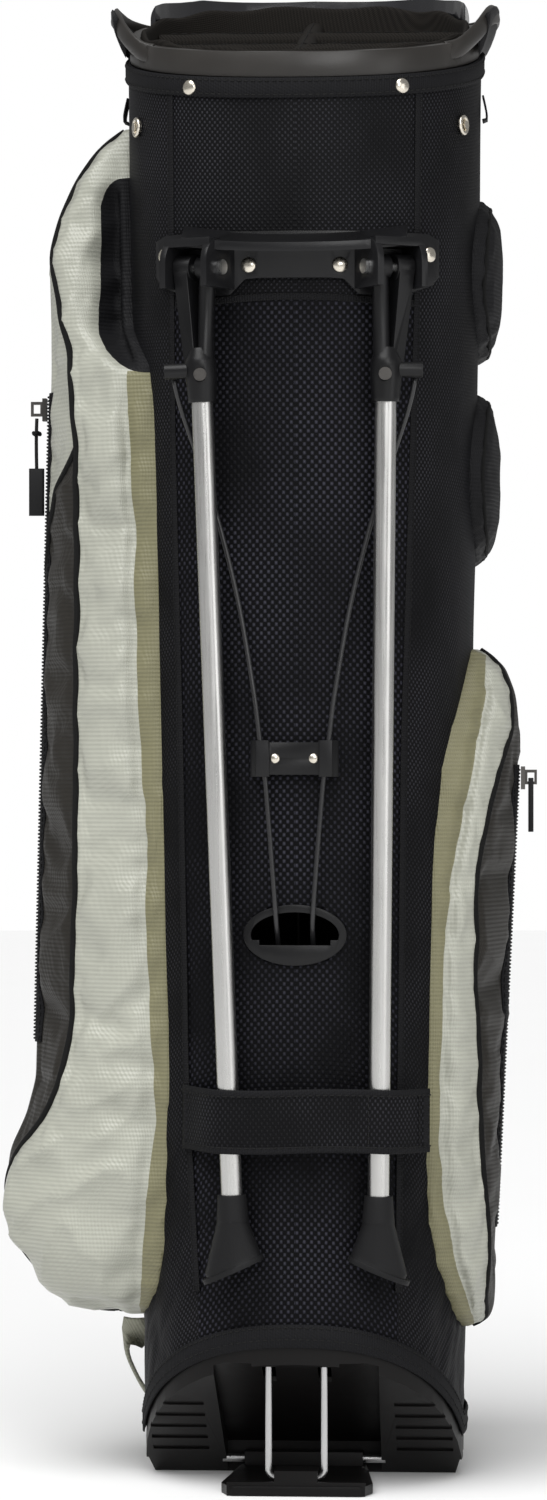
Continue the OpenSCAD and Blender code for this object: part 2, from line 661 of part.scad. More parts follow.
// ---------- pockets ----------
// One row for each level of a side pocket, on the +X side: height, outermost x, the front corner
// of the outer face (x, y), the x of the front seam on the tube, and the x of the rear seam.
left_levels = [
    [98, 130, 124, -22, 96, 96],
    [105, 143, 136, -30, 89, 92],
    [119, 161, 152, -36, 80, 88],
    [141, 178, 170, -40, 74, 82],
    [170, 183, 176, -38, 70, 80],
    [196, 181, 170, -44, 69, 79],
    [217, 171, 156, -52, 68.7, 79],
    [240, 165.2, 142, -60, 69, 79],
    [280, 164.3, 129, -64, 70.5, 80],
    [380, 162.1, 127, -64, 72, 81],
    [470, 160, 128, -64, 75, 82],
    [530, 158.7, 129, -63, 76.5, 83],
    [590, 157.4, 132, -61, 78, 85],
    [640, 156.2, 134, -58, 79.5, 88],
    [672, 155.5, 135, -55, 84, 92],
    [700, 155.5, 141, -46, 102, 98],
    [740, 156.5, 148, -36, 104, 102],
    [765, 152, 145, -32, 104.5, 104],
    [789, 140, 135, -26, 105, 105],
    [807, 127, 123, -20, 105.6, 105.6],
    [820, 113, 111, -12, 106, 106]];
right_levels = [
    [91, 109, 105, -28, 97, 97],
    [99, 114, 108, -40, 92, 92],
    [115, 115, 110, -48, 86, 88],
    [135, 114.3, 111, -54, 77, 84],
    [160, 115.5, 111.5, -57, 70, 82],
    [196, 117.2, 111.5, -58, 67, 82],
    [300, 122.2, 108, -62, 68.8, 84],
    [367, 125.5, 108, -62, 71.5, 85],
    [398, 127, 113, -59, 74, 86],
    [435, 128.8, 121, -50, 79, 90],
    [455, 129.4, 124, -42, 86, 94],
    [475, 127.5, 122, -34, 94, 98],
    [492, 121, 116, -26, 99, 100],
    [503, 108, 106, -16, 102, 102]];
ball_stations = [
    [[132, 90], [-72, 134, 88], [-62, 158, 96]],
    [[133, 160], [-76, 138, 160], [-66, 164, 160]],
    [[133, 240], [-76, 137, 240], [-66, 162, 240]],
    [[131, 310], [-74, 132, 312], [-62, 152, 304]],
    [[118, 352], [-52, 132, 354], [-46, 146, 340]],
    [[90, 362], [0, 134, 364], [0, 148, 350]],
    [[62, 352], [52, 132, 354], [46, 146, 340]],
    [[49, 310], [74, 132, 312], [62, 152, 304]],
    [[47, 240], [76, 137, 240], [66, 162, 240]],
    [[47, 160], [76, 138, 160], [66, 164, 160]],
    [[48, 90], [72, 134, 88], [62, 158, 96]],
    [[60, 58], [52, 136, 52], [46, 158, 66]],
    [[90, 50], [0, 140, 42], [0, 162, 58]],
    [[120, 58], [-52, 136, 52], [-46, 158, 66]]];
ball_face = [0, 172, 200];
ball_bulge = 6;
// Side pouches: half height, half width round the tube, height above the tube.
pouch_half_z = [51, 54];
pouch_z = [729, 607];

function ring_of(st, i, steps) = loop_curve([for (q = st) q[i]], steps);
function seam_ring(st, off, steps) = loop_curve([for (q = st) skin(q[0][0], q[0][1], off)], steps);
// The face: the edge ring drawn in towards the face's middle and pushed out by the bulge.
function face_ring(edge, centre, share, out, bulge) =
    [for (p = edge) mix(p, centre, share) + out * bulge * share * (1.6 - share)];

// A soft pocket, closed and plain, sewn to the tube's outside along its seam.
module pocket(st, face, out, bulge, reverse, steps = 2) {
    function order(r) = reverse ? [for (i = [len(r) - 1:-1:0]) r[i]] : r;
    edge = ring_of(st, 2, steps);
    rings = concat([seam_ring(st, -8, steps), seam_ring(st, 3, steps), ring_of(st, 1, steps), edge],
        [for (share = [0.3, 0.62, 0.86]) face_ring(edge, face, share, out, bulge)]);
    difference() {
        loft([for (r = rings) order(r)]);
        tube_solid(tube_z0 - 10, 900, 0.2);
    }
}
// Plan of a side pocket at one level, from its front seam round the outside to its rear seam.
function seam_y(x, z) = front_y(min(x, half_w(z) - 0.3), z);
function level_ring(q) = let(z = q[0], f = [q[4] - 6, seam_y(q[4], z) + 7], r = [q[5] - 6, -seam_y(q[5], z) - 7],
    c = [q[2], q[3]], d = [q[2], -q[3] + 6])
    [for (p = open_curve([f, mix(f, c, 0.5) + [6, -6], c, [mix(q[2], q[1], 0.64), q[3] * 0.56], [q[1], 3],
        [mix(q[2], q[1], 0.64), 6 - q[3] * 0.56], d, mix(d, r, 0.5) + [6, 6], r], 3)) [p[0], p[1], z]];
module side_pocket(levels) difference() {
    loft([for (q = levels) level_ring(q)]);
    tube_solid(tube_z0 - 10, 900, 0.2);
}
module left_pocket() color(silver) on_side(-1) side_pocket(left_levels);
module right_pocket() color(silver) side_pocket(right_levels);
// The outermost x of a side pocket at a height: the zips run straight down this line.
function outermost(levels, z) = lookup(z, [for (q = levels) [q[0], q[1]]]);
zip_y = 3;
module ball_pocket() color(silver) pocket(ball_stations, ball_face, [0, 1, 0], ball_bulge, false);

// a soft rounded pouch on the right side
module pouch(i) difference() {
    k = 20;
    loft([for (d = [[0, -6, 1], [1, 2, 1], [2, 7, 0.94], [3, 10.5, 0.8], [4, 12.5, 0.5], [5, 13, 0.2]])
        [for (j = [0:k - 1]) skin(12 + 28 * d[2] * cos(360 * j / k), pouch_z[i] + pouch_half_z[i] * d[2] * sin(360 * j / k), d[1])]]);
    tube_solid(500, 850, 0.2);
}
module pouch_upper() color(black) pouch(0);
module pouch_lower() color(black) pouch(1);

// ---------- zips ----------
module zip_tapes() color(black) {
    on_side(-1) side_zip(left_levels, 262, 660);
    side_zip(right_levels, 150, 432);
    sweep([for (x = [-50, 50]) [x, 169.4, 262]], 1.2, 4, [0, 1, 0], 8);
}
module side_zip(levels, z0, z1) sweep([for (z = [z0, z1]) [outermost(levels, z) + 1.7, zip_y, z]],
    1.2, 4, [1, 0, 0], 8);
// a slider with its bail, standing on the zip
module slider() {
    translate([-4, 0, -7]) linear_extrude(14) polygon([[0, 0], [8, 0], [7, 2.6], [1, 2.6]]);
    difference() {
        translate([-1.2, 2.4, -4]) cube([2.4, 7.4, 9]);
        translate([-2, 4, -2.2]) cube([4, 4.2, 5.4]);
    }
}
module zip_slider_left() color(metal) on_side(-1) side_slider(left_levels, 650);
module zip_slider_right() color(metal) side_slider(right_levels, 424);
module side_slider(levels, z) translate([outermost(levels, z) + 3.4, zip_y, z]) rotate([0, 0, -90]) slider();
module zip_slider_ball() color(metal) translate([-42, 171.1, 262]) rotate([0, 90, 0]) slider();
// moulded pulls that hang from the bails of the two zips at the right and the back
module pull() {
    difference() {
        translate([-1.6, -3, -34]) cube([3.2, 6, 33]);
        translate([-2, -1.6, -5]) cube([4, 3.2, 2.6]);
    }
}
module zip_pull_right() color(black) translate([outermost(right_levels, 424) + 9.5, zip_y, 424 + 1]) pull();
module zip_pull_ball() color(black) translate([-42, 177.2, 261.6]) rotate([0, 0, 90]) pull();
// the pull: a thin cord through the slider's bail and a moulded tab on its end
function pull_route() = [[-165.6, 3, 644.8], [-165.9, 3, 635], [-165.9, 3, 624], [-165.7, 3, 614.1]];
module zip_pull_cord() color(black) {
    sweep(open_curve(pull_route(), 3), 1.1, 1.1, [0, 1, 0], 8);
    translate(pull_route()[0]) sphere(1.1, $fn = 16);
}
module zip_pull_tab() color(black) translate([-165.7, 3, 614]) rotate([180, 0, 0]) linear_extrude(29)
    offset(1.5) square([6.4, 1], center = true);

// ---------- handles and carrying strap ----------
module base_grab_handle() color(silver) sweep(open_curve([[-98.6, 42, 38], [-107, 46, 50], [-114, 48, 66],
    [-112, 48, 77], [-99, 44, 80]], 3), 1.6, 12, [1, 0.2, 0.6], 10);
module grab_handle() color(black) sweep(open_curve([[0, 119.6, 520], [0, 134, 532], [0, 146, 552], [0, 149, 575],
    [0, 146, 598], [0, 134, 618], [0, 121, 630]], 3), 6, 13, [0, 1, 0.001], 12);
function pad_path(x) = open_curve([[x, 132, 812], [x * 1.15, 148, 786], [x * 1.25, 156, 740], [x * 1.28, 157, 680],
    [x * 1.25, 152, 620], [x * 1.2, 144, 580]], 3);
module strap_pad(x) sweep(pad_path(x), 6.5, 26, [0, 1, 0], 14);
module strap_pad_left() color(dark) strap_pad(-40);
module strap_pad_right() color(dark) strap_pad(40);
module strap_webbing() color(black) for (s = [-1, 1]) {
    sweep(open_curve([[s * 36, 121.5, 842], [s * 37, 125, 828], [s * 40, 131.5, 812.5]], 2), 1.2, 12, [0, 1, 0], 8);
    sweep(open_curve([[s * 48, 143.5, 579.5], [s * 46, 136, 548], [s * 43, 127, 500], [s * 40, 116.4, 440]], 2), 1.2, 12, [0, 1, 0], 8);
}
module strap_buckles() color(black) for (s = [-1, 1]) translate([s * 43.6, 128.82, 510]) rotate([-10.3, 0, 0])
    difference() {
        cube([35, 7.4, 26], center = true);
        cube([27, 4, 60], center = true);
    }

// ---------- output ----------
base_shell();
base_binding();
foot_plate_pin();
foot_plate();
lift_wire();
actuator_yoke();
yoke_guide();
push_rod_left();
push_rod_right();
rod_clip();
clip_rivets();
rod_port();
leg_bracket();
bracket_rivets();
bracket_backing_plate();
leg_axles();
leg_head_left();
leg_head_right();
leg_tube_left();
leg_tube_right();
leg_foot_left();
leg_foot_right();
leg_screw_left();
leg_screw_right();
leg_lock_strap();
body_tube();
stay_rods();
divider_long();
divider_cross();
divider_bars();
top_cuff();
cuff_handle_left();
cuff_handle_right();
cuff_grip_left();
cuff_grip_right();
cuff_back_plate();
cuff_lining();
collar_binding();
cuff_rivets();
hood_snaps();
side_loops();
left_pocket();
right_pocket();
ball_pocket();
pouch_upper();
pouch_lower();
zip_tapes();
zip_slider_left();
zip_slider_right();
zip_slider_ball();
zip_pull_cord();
zip_pull_tab();
zip_pull_right();
zip_pull_ball();
base_grab_handle();
grab_handle();
strap_pad_left();
strap_pad_right();
strap_webbing();
strap_buckles();
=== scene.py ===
"""Looks of a golf stand bag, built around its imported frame. All lengths are in metres."""
import math

import bmesh
import bpy
import numpy as np
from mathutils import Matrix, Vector, noise
from mathutils.bvhtree import BVHTree


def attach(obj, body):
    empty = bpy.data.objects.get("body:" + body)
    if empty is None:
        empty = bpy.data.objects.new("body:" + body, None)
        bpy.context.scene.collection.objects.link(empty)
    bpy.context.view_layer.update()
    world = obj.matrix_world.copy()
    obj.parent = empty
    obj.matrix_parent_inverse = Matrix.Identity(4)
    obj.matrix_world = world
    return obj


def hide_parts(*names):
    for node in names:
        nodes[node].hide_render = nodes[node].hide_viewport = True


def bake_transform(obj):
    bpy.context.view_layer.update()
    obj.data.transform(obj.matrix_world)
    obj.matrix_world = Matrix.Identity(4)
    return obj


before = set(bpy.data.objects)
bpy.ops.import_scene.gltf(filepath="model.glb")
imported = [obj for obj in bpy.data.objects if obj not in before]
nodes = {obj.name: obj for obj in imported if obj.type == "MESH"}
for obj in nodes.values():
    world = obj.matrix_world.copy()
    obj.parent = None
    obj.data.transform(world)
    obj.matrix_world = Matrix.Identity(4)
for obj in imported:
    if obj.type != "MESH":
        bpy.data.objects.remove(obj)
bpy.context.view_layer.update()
scene = bpy.context.scene

# The tube: half width and half depth at the ground and at the cuff, and the cuff's slope.
BASE_HALF = (0.097, 0.112)
TOP_HALF = (0.108, 0.120)
SECTION_POWER = 2.4
RIM_Z = 0.880
RIM_SLOPE = math.tan(math.radians(13.5))
FACET_SLOPE = math.tan(math.radians(36))
FACET_BACK_Y = -0.004
HEM_RISE = 0.013
TUBE_BOTTOM = 0.030
WALL = 0.003


# ---------------------------------------------------------------- camera, light and floor
def make_camera():
    distance, turn, height = 3.0, math.radians(3.5), 0.441
    shift_right = -0.0196
    camera = bpy.data.objects.new("camera", bpy.data.cameras.new("camera"))
    scene.collection.objects.link(camera)
    camera.data.lens = 117.6
    forward = Vector((-math.sin(turn), math.cos(turn), 0))
    right = Vector((math.cos(turn), math.sin(turn), 0))
    camera.location = shift_right * right - distance * forward + Vector((0, 0, height))
    camera.rotation_euler = (math.radians(90), 0, turn)
    scene.camera = camera


def area_light(name, place, target, size, power):
    data = bpy.data.lights.new(name, "AREA")
    data.size = size
    data.energy = power
    light = bpy.data.objects.new(name, data)
    scene.collection.objects.link(light)
    light.location = place
    light.rotation_euler = (Vector(target) - Vector(place)).to_track_quat("-Z", "Y").to_euler()


# How bright the plain backdrop is to the camera, and how much it lights the bag.
BACKDROP_SEEN = 1.0
BACKDROP_LIGHT = 0.3
SUN_ENERGY = 2.9
FLOOR_RADIUS = 9
FLOOR_SIDES = 64


def make_studio():
    world = bpy.data.worlds.new("studio")
    world.use_nodes = True
    backdrop = world.node_tree.nodes["Background"]
    backdrop.inputs["Color"].default_value = (1, 1, 1, 1)
    seen = world.node_tree.nodes.new("ShaderNodeLightPath").outputs["Is Camera Ray"]
    strength = world.node_tree.nodes.new("ShaderNodeMapRange")
    strength.inputs["To Min"].default_value = BACKDROP_LIGHT
    strength.inputs["To Max"].default_value = BACKDROP_SEEN
    world.node_tree.links.new(seen, strength.inputs["Value"])
    world.node_tree.links.new(strength.outputs["Result"], backdrop.inputs["Strength"])
    scene.world = world
    scene.view_settings.view_transform = "Standard"
    sun = bpy.data.lights.new("sky_panel", "SUN")
    sun.energy = SUN_ENERGY
    sun.angle = math.radians(50)
    overhead = bpy.data.objects.new("sky_panel", sun)
    overhead.rotation_euler = (math.radians(28), math.radians(-14), 0)
    scene.collection.objects.link(overhead)
    area_light("key", (0.7, -2.6, 1.6), (0, 0, 0.45), 1.3, 24)
    area_light("fill", (2.4, -1.9, 0.9), (0, 0, 0.45), 1.4, 9)
    paper = Surface("floor_paper", (0.9, 0.9, 0.9), 0.9)
    paper.vary(paper.noise(3.0), 0.985, 1.0)
    turns = np.linspace(0, math.tau, FLOOR_SIDES + 1)[:-1]
    ring = [(FLOOR_RADIUS * math.cos(a), FLOOR_RADIUS * math.sin(a), 0) for a in turns]
    floor = add("floor", ring, [list(range(FLOOR_SIDES))], paper.material)


# ---------------------------------------------------------------- materials
class Surface:
    """A Principled material whose colour, roughness and relief come from short node chains."""

    def __init__(self, name, color, roughness, **sockets):
        self.material = bpy.data.materials.new(name)
        self.material.use_nodes = True
        self.tree = self.material.node_tree
        self.shader = self.tree.nodes["Principled BSDF"]
        self.color = color
        self.shader.inputs["Base Color"].default_value = (*color, 1)
        self.shader.inputs["Roughness"].default_value = roughness
        for socket, value in sockets.items():
            self.shader.inputs[socket.replace("_", " ")].default_value = value

    def node(self, kind, **settings):
        made = self.tree.nodes.new("ShaderNode" + kind)
        for key, value in settings.items():
            setattr(made, key, value)
        return made

    def feed(self, socket, value):
        """Links value to socket, or sets it where value is a number."""
        if isinstance(value, bpy.types.NodeSocket):
            self.tree.links.new(value, socket)
        else:
            socket.default_value = value

    def math(self, operation, *values):
        made = self.node("Math", operation=operation)
        for socket, value in zip(made.inputs, values):
            self.feed(socket, value)
        return made.outputs[0]

    def axes(self, space):
        split = self.node("SeparateXYZ")
        self.feed(split.inputs[0], self.node("TexCoord").outputs[space])
        return split.outputs

    def wave(self, coordinate, pitch):
        return self.math("SINE", self.math("MULTIPLY", coordinate, math.tau / pitch))

    def noise(self, scale, detail=3.0, stretch=(1, 1, 1)):
        mapping = self.node("Mapping")
        mapping.inputs["Scale"].default_value = stretch
        self.feed(mapping.inputs[0], self.node("TexCoord").outputs["Object"])
        made = self.node("TexNoise")
        made.inputs["Scale"].default_value = scale
        made.inputs["Detail"].default_value = detail
        self.feed(made.inputs["Vector"], mapping.outputs[0])
        return made.outputs["Fac"]

    def blend_to(self, share, dark, light):
        """Colour from dark to light as share goes from 0 to 1."""
        mix = self.node("Mix", data_type="RGBA")
        self.feed(mix.inputs[0], share)
        mix.inputs[6].default_value = (*dark, 1)
        mix.inputs[7].default_value = (*light, 1)
        self.feed(self.shader.inputs["Base Color"], mix.outputs[2])
        return self

    def vary(self, share, low, high):
        return self.blend_to(share, [c * low for c in self.color], [c * high for c in self.color])

    def rough(self, share, low, high):
        spread = self.node("MapRange")
        self.feed(spread.inputs[0], share)
        spread.inputs["From Min"].default_value = 0.3
        spread.inputs["From Max"].default_value = 0.7
        spread.inputs["To Min"].default_value = low
        spread.inputs["To Max"].default_value = high
        self.feed(self.shader.inputs["Roughness"], spread.outputs[0])
        return self

    def relief(self, *heights):
        """Bump from pairs of a 0 to 1 or -1 to 1 pattern and its height in metres."""
        total = 0.0
        for pattern, height in heights:
            total = self.math("ADD", self.math("MULTIPLY", pattern, height), total)
        bump = self.node("Bump")
        bump.inputs["Strength"].default_value = 1.0
        bump.inputs["Distance"].default_value = 1.0
        self.feed(bump.inputs["Height"], total)
        self.feed(self.shader.inputs["Normal"], bump.outputs[0])
        return self


def net_fabric(name, ground, cells_and_sheen, pitch):
    """Black polyester net: staggered raised cells, pitch apart across and in height. The raised cells are coloured
    lighter and bluish in patches: partly the yarn's own tone, partly a painted cool sheen.
    """
    s = Surface(name, ground, 0.5, Specular_IOR_Level=0.05)
    u, v, _ = s.axes("UV")
    cells = s.math("MULTIPLY", s.wave(u, pitch[0]), s.wave(v, pitch[1]))
    raised = s.math("SMOOTH_MAX", s.math("MULTIPLY", cells, 1.2), 0.0, 0.15)
    # painted sheen: noise patches decide how strongly the raised cells take the lighter bluish colour
    patches = s.node("MapRange")
    s.feed(patches.inputs[0], s.noise(16.0, 3.0, (1, 1, 0.7)))
    patches.inputs["From Min"].default_value = 0.36
    patches.inputs["From Max"].default_value = 0.66
    patches.inputs["To Min"].default_value = 0.12
    s.blend_to(s.math("MULTIPLY", raised, patches.outputs[0]), ground, cells_and_sheen)
    return s.relief((raised, 0.0004), (s.noise(1400.0), 0.00005)).material


def ribbed_fabric(name, color, pitch, roughness=0.55, sheen=0.15, deep=0.00012, gloss=0.12):
    """Plain-woven nylon with a fine crosswise rib."""
    s = Surface(name, color, roughness, Sheen_Weight=sheen, Sheen_Roughness=0.35, Specular_IOR_Level=gloss)
    x, y, z = s.axes("Object")
    ribs = s.math("MULTIPLY_ADD", s.wave(z, pitch), 0.5, 0.5)
    ends = s.wave(s.math("ADD", x, y), pitch * 0.7)
    patches = s.noise(14.0, 4.0)
    shade = s.math("ADD", s.math("MULTIPLY", ribs, 0.35), s.math("MULTIPLY", patches, 0.65))
    s.vary(shade, 0.74, 1.16)
    return s.relief((ribs, deep), (ends, deep * 0.35), (s.noise(900.0), 0.00004)).material


def mesh_fabric(name, color, pitch):
    """Open spacer mesh: dark holes between lighter threads."""
    s = Surface(name, color, 0.8, Specular_IOR_Level=0.1)
    x, y, z = s.axes("Object")
    holes = s.math("MULTIPLY", s.wave(s.math("ADD", x, z), pitch), s.wave(s.math("SUBTRACT", y, z), pitch))
    share = s.math("MULTIPLY_ADD", holes, 0.5, 0.5)
    s.vary(share, 0.35, 1.5)
    return s.relief((share, 0.0003), (s.noise(700.0), 0.00006)).material


def tape_fabric(name, color, pitch=0.0016):
    """Grosgrain or webbing with a close rib across it and a slightly worn surface."""
    s = Surface(name, color, 0.7, Specular_IOR_Level=0.12)
    u, v, _ = s.axes("UV")
    ribs = s.math("MULTIPLY_ADD", s.wave(u, pitch), 0.5, 0.5)
    twill = s.wave(s.math("ADD", s.math("MULTIPLY", u, 0.5), v), pitch * 1.3)
    s.vary(s.math("ADD", s.math("MULTIPLY", ribs, 0.4), s.math("MULTIPLY", s.noise(40.0), 0.6)), 0.7, 1.35)
    return s.relief((ribs, 0.00018), (twill, 0.00005), (s.noise(1200.0), 0.00004)).material


def moulded(name, color, roughness, grain=0.00005, **sockets):
    """Injection-moulded plastic or rubber: fine grain, uneven gloss, paler worn edges."""
    s = Surface(name, color, roughness, **sockets)
    edges = s.node("NewGeometry").outputs["Pointiness"]
    worn = s.node("MapRange")
    s.feed(worn.inputs[0], edges)
    worn.inputs["From Min"].default_value = 0.52
    worn.inputs["From Max"].default_value = 0.62
    smudge = s.noise(22.0, 4.0)
    share = s.math("MAXIMUM", s.math("MULTIPLY", worn.outputs[0], 0.9), s.math("MULTIPLY", smudge, 0.55))
    s.vary(share, 0.78, 1.7)
    s.rough(smudge, roughness - 0.06, roughness + 0.1)
    return s.relief((s.noise(1800.0, 2.0), grain), (s.noise(60.0, 2.0), grain * 1.5)).material


def metal(name, color, roughness, stretch, scale=60.0, **sockets):
    """Drawn or turned metal: fine lines along one direction and faint marks."""
    s = Surface(name, color, roughness, Metallic=1.0, **sockets)
    lines = s.noise(scale, 3.0, stretch)
    s.vary(s.noise(35.0, 4.0), 0.86, 1.06)
    s.rough(lines, roughness - 0.05, roughness + 0.08)
    return s.relief((lines, 0.000007)).material


def plain_yarn(name, color):
    s = Surface(name, color, 0.75, Specular_IOR_Level=0.15)
    x, y, z = s.axes("Object")
    twist = s.wave(s.math("ADD", s.math("ADD", x, y), s.math("MULTIPLY", z, 1.7)), 0.0011)
    s.vary(s.math("MULTIPLY_ADD", twist, 0.3, s.noise(60.0)), 0.6, 1.4)
    return s.relief((twist, 0.00009)).material


# the third colour is the raised cells' tone with a painted bluish sheen in it
net_coarse = net_fabric("net_coarse", (0.003, 0.003, 0.0035), (0.036, 0.036, 0.048), (0.0043, 0.0060))
net_fine = net_fabric("net_fine", (0.005, 0.005, 0.0055), (0.034, 0.034, 0.040), (0.0032, 0.0044))
silver_cloth = ribbed_fabric("silver_cloth", (0.385, 0.39, 0.335), 0.0026, 0.34, 0.05, 0.00016, 0.4)
# painted shade: the silver cloth made darker and warmer, for the shaded recessed side of the pockets' gusset creases
shaded_silver_cloth = ribbed_fabric("shaded_silver_cloth", (0.19, 0.18, 0.105), 0.0024, 0.45, 0.03, 0.00018, 0.3)
charcoal_cloth = ribbed_fabric("charcoal_cloth", (0.024, 0.022, 0.019), 0.0026, 0.5, 0.03, 0.0002)
black_cloth = ribbed_fabric("black_cloth", (0.008, 0.008, 0.009), 0.0024, 0.6, 0.0, 0.00018)
lining_mesh = mesh_fabric("lining_mesh", (0.012, 0.0105, 0.009), 0.0022)
lining_cloth = ribbed_fabric("lining_cloth", (0.005, 0.0047, 0.0044), 0.003, 0.7, 0.0)
black_tape = tape_fabric("black_tape", (0.007, 0.007, 0.008))
sage_tape = tape_fabric("sage_tape", (0.30, 0.30, 0.24), 0.0022)
piping_cord = plain_yarn("piping_cord", (0.006, 0.006, 0.006))
black_thread = plain_yarn("black_thread", (0.012, 0.012, 0.012))
# painted highlight: the cuff's black plastic coloured grey, lighter than the black plastic, for the satin highlight on
# its band
highlight_grey_plastic = moulded("highlight_grey_plastic", (0.022, 0.020, 0.018), 0.36, Specular_IOR_Level=0.35)
black_plastic = moulded("black_plastic", (0.0045, 0.0045, 0.005), 0.33, Specular_IOR_Level=0.26)
base_plastic = moulded("base_plastic", (0.003, 0.0027, 0.0027), 0.4, 0.00009, Specular_IOR_Level=0.16)
gloss_plastic = moulded("gloss_plastic", (0.009, 0.009, 0.011), 0.16, 0.00001, Coat_Weight=0.6)
soft_rubber = moulded("soft_rubber", (0.006, 0.006, 0.0066), 0.5, 0.00012, Specular_IOR_Level=0.2)
teeth_nylon = moulded("teeth_nylon", (0.012, 0.012, 0.012), 0.35, 0.00002)
rod_paint = moulded("rod_paint", (0.012, 0.012, 0.013), 0.3, 0.00002)
leg_aluminium = metal("leg_aluminium", (0.60, 0.595, 0.58), 0.27, (60, 60, 1), 12.0)
drawn_steel = metal("drawn_steel", (0.55, 0.55, 0.55), 0.3, (30, 30, 1), 20.0)
nickel = metal("nickel", (0.72, 0.67, 0.58), 0.24, (1, 1, 1), 300.0)
dark_metal = metal("dark_metal", (0.10, 0.095, 0.09), 0.34, (1, 1, 1), 300.0)


# ---------------------------------------------------------------- the tube's own geometry
def half(z):
    share = z / RIM_Z
    return [a + (b - a) * share for a, b in zip(BASE_HALF, TOP_HALF)]


def skin(angle, z, off=0.0):
    """A point off metres outside the tube, at an angle round it: 0 is +X and a quarter turn is +Y."""
    width, depth = half(z)
    c, s = math.cos(angle), math.sin(angle)
    power = 2 / SECTION_POWER
    return Vector(
        ((width + off) * math.copysign(abs(c) ** power, c), (depth + off) * math.copysign(abs(s) ** power, s), z)
    )


def skin_normal(angle, z):
    width, depth = half(z)
    c, s = math.cos(angle), math.sin(angle)
    power = 2 - 2 / SECTION_POWER
    across = math.copysign(abs(c) ** power, c) / width
    along = math.copysign(abs(s) ** power, s) / depth
    return Vector((across, along, 0)).normalized()


def front_angle(x, z):
    """The angle at which the tube's front is x metres to the right of its middle."""
    share = min(1.0, abs(x) / half(z)[0]) ** (SECTION_POWER / 2)
    return -math.acos(math.copysign(share, x))


def outside(point):
    """How far a point is outside the tube, roughly, in metres."""
    width, depth = half(point[2])
    total = (abs(point[0]) / width) ** SECTION_POWER + (abs(point[1]) / depth) ** SECTION_POWER
    reach = total ** (1 / SECTION_POWER)
    return (reach - 1) * math.hypot(point[0], point[1]) / max(reach, 0.1)


def rim_height(y, off=0.0):
    return RIM_Z + off + y * RIM_SLOPE


def hem_height(angle, off=0.0):
    """The fabric's lower edge: level round the back, arched over the base at the front."""
    z = TUBE_BOTTOM
    for _ in range(3):
        y = skin(angle, z).y
        z = max(TUBE_BOTTOM, (FACET_BACK_Y - y) * FACET_SLOPE + HEM_RISE)
    return z + off


def collar_height(angle, off):
    z = RIM_Z
    for _ in range(3):
        z = rim_height(skin(angle, z).y, off)
    return z


# ---------------------------------------------------------------- mesh building
def add(name, points, faces, material, uvs=None):
    mesh = bpy.data.meshes.new(name)
    mesh.from_pydata([tuple(p) for p in points], [], faces)
    mesh.shade_smooth()
    mesh.materials.append(material)
    if uvs is not None:
        layer = mesh.uv_layers.new(name="UVMap")
        layer.data.foreach_set("uv", np.array(uvs, np.float32).ravel())
    piece = bpy.data.objects.new(name, mesh)
    scene.collection.objects.link(piece)
    return piece


def place(piece, slot, body="bag", stands_for=()):
    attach(piece, body)
    if stands_for:
        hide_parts(*stands_for)
    return piece


def lengths(points):
    steps = [0.0] + [(b - a).length for a, b in zip(points, points[1:])]
    return np.cumsum(steps)


def grid(name, rows, material, around=False, along=False, caps=False):
    """Quads over rows of points. around joins each row's ends, along joins the last row to the first."""
    rows = [[Vector(p) for p in row] for row in rows]
    m, k = len(rows), len(rows[0])
    across = lengths(rows[m // 2] + ([rows[m // 2][0]] if around else []))
    down = lengths([row[0] for row in rows] + ([rows[0][0]] if along else []))
    faces, uvs = [], []
    for i in range(m if along else m - 1):
        for j in range(k if around else k - 1):
            i2, j2 = (i + 1) % m, (j + 1) % k
            faces.append((i * k + j, i * k + j2, i2 * k + j2, i2 * k + j))
            uvs += [(down[i], across[j]), (down[i], across[j + 1])]
            uvs += [(down[i + 1], across[j + 1]), (down[i + 1], across[j])]
    if caps:
        for row, order in ((0, range(k - 1, -1, -1)), (m - 1, range(k))):
            faces.append([row * k + j for j in order])
            uvs += [(down[row], across[j]) for j in order]
    return add(name, [p for row in rows for p in row], faces, material, uvs)


def round_profile(radius, count=10):
    return [(radius * math.cos(a), radius * math.sin(a)) for a in np.linspace(0, math.tau, count + 1)[:-1]]


def strap_profile(width, thick, across=6):
    """A flat strap's section, thin at its bound edges, width along the second axis."""
    edge = thick * 0.5
    side = [(thick / 2, y) for y in np.linspace(-width / 2 + edge, width / 2 - edge, across)]
    tip = [(thick * 0.28, width / 2 - edge * 0.2), (-thick * 0.28, width / 2 - edge * 0.2)]
    back = [(-a, -b) for a, b in side]
    return side + tip + back + [(-a, -b) for a, b in tip]


def oval_profile(rx, ry, count=16, power=2.0):
    swell = lambda x: math.copysign(abs(x) ** (2 / power), x)
    turns = np.linspace(0, math.tau, count + 1)[:-1]
    return [(rx * swell(math.cos(a)), ry * swell(math.sin(a))) for a in turns]


def frames(path, side, closed=False):
    """Point, side and up direction for each point of a path. side is one direction or one for each point."""
    n = len(path)
    for i, point in enumerate(path):
        before = path[(i - 1) % n] if closed else path[max(i - 1, 0)]
        after = path[(i + 1) % n] if closed else path[min(i + 1, n - 1)]
        ahead = (after - before).normalized()
        towards = Vector(side[i] if isinstance(side, list) else side)
        u = (towards - towards.dot(ahead) * ahead).normalized()
        yield point, u, ahead.cross(u)


def sweep(name, path, profile, side, material, closed=False):
    """A solid along a path, its section's first axis towards side.

    profile is one section or one for each point.
    """
    rows = []
    for i, (point, u, v) in enumerate(frames(path, side, closed)):
        section = profile[i] if isinstance(profile[0], list) else profile
        rows.append([point + u * a + v * b for a, b in section])
    return grid(name, rows, material, around=True, along=closed, caps=not closed)


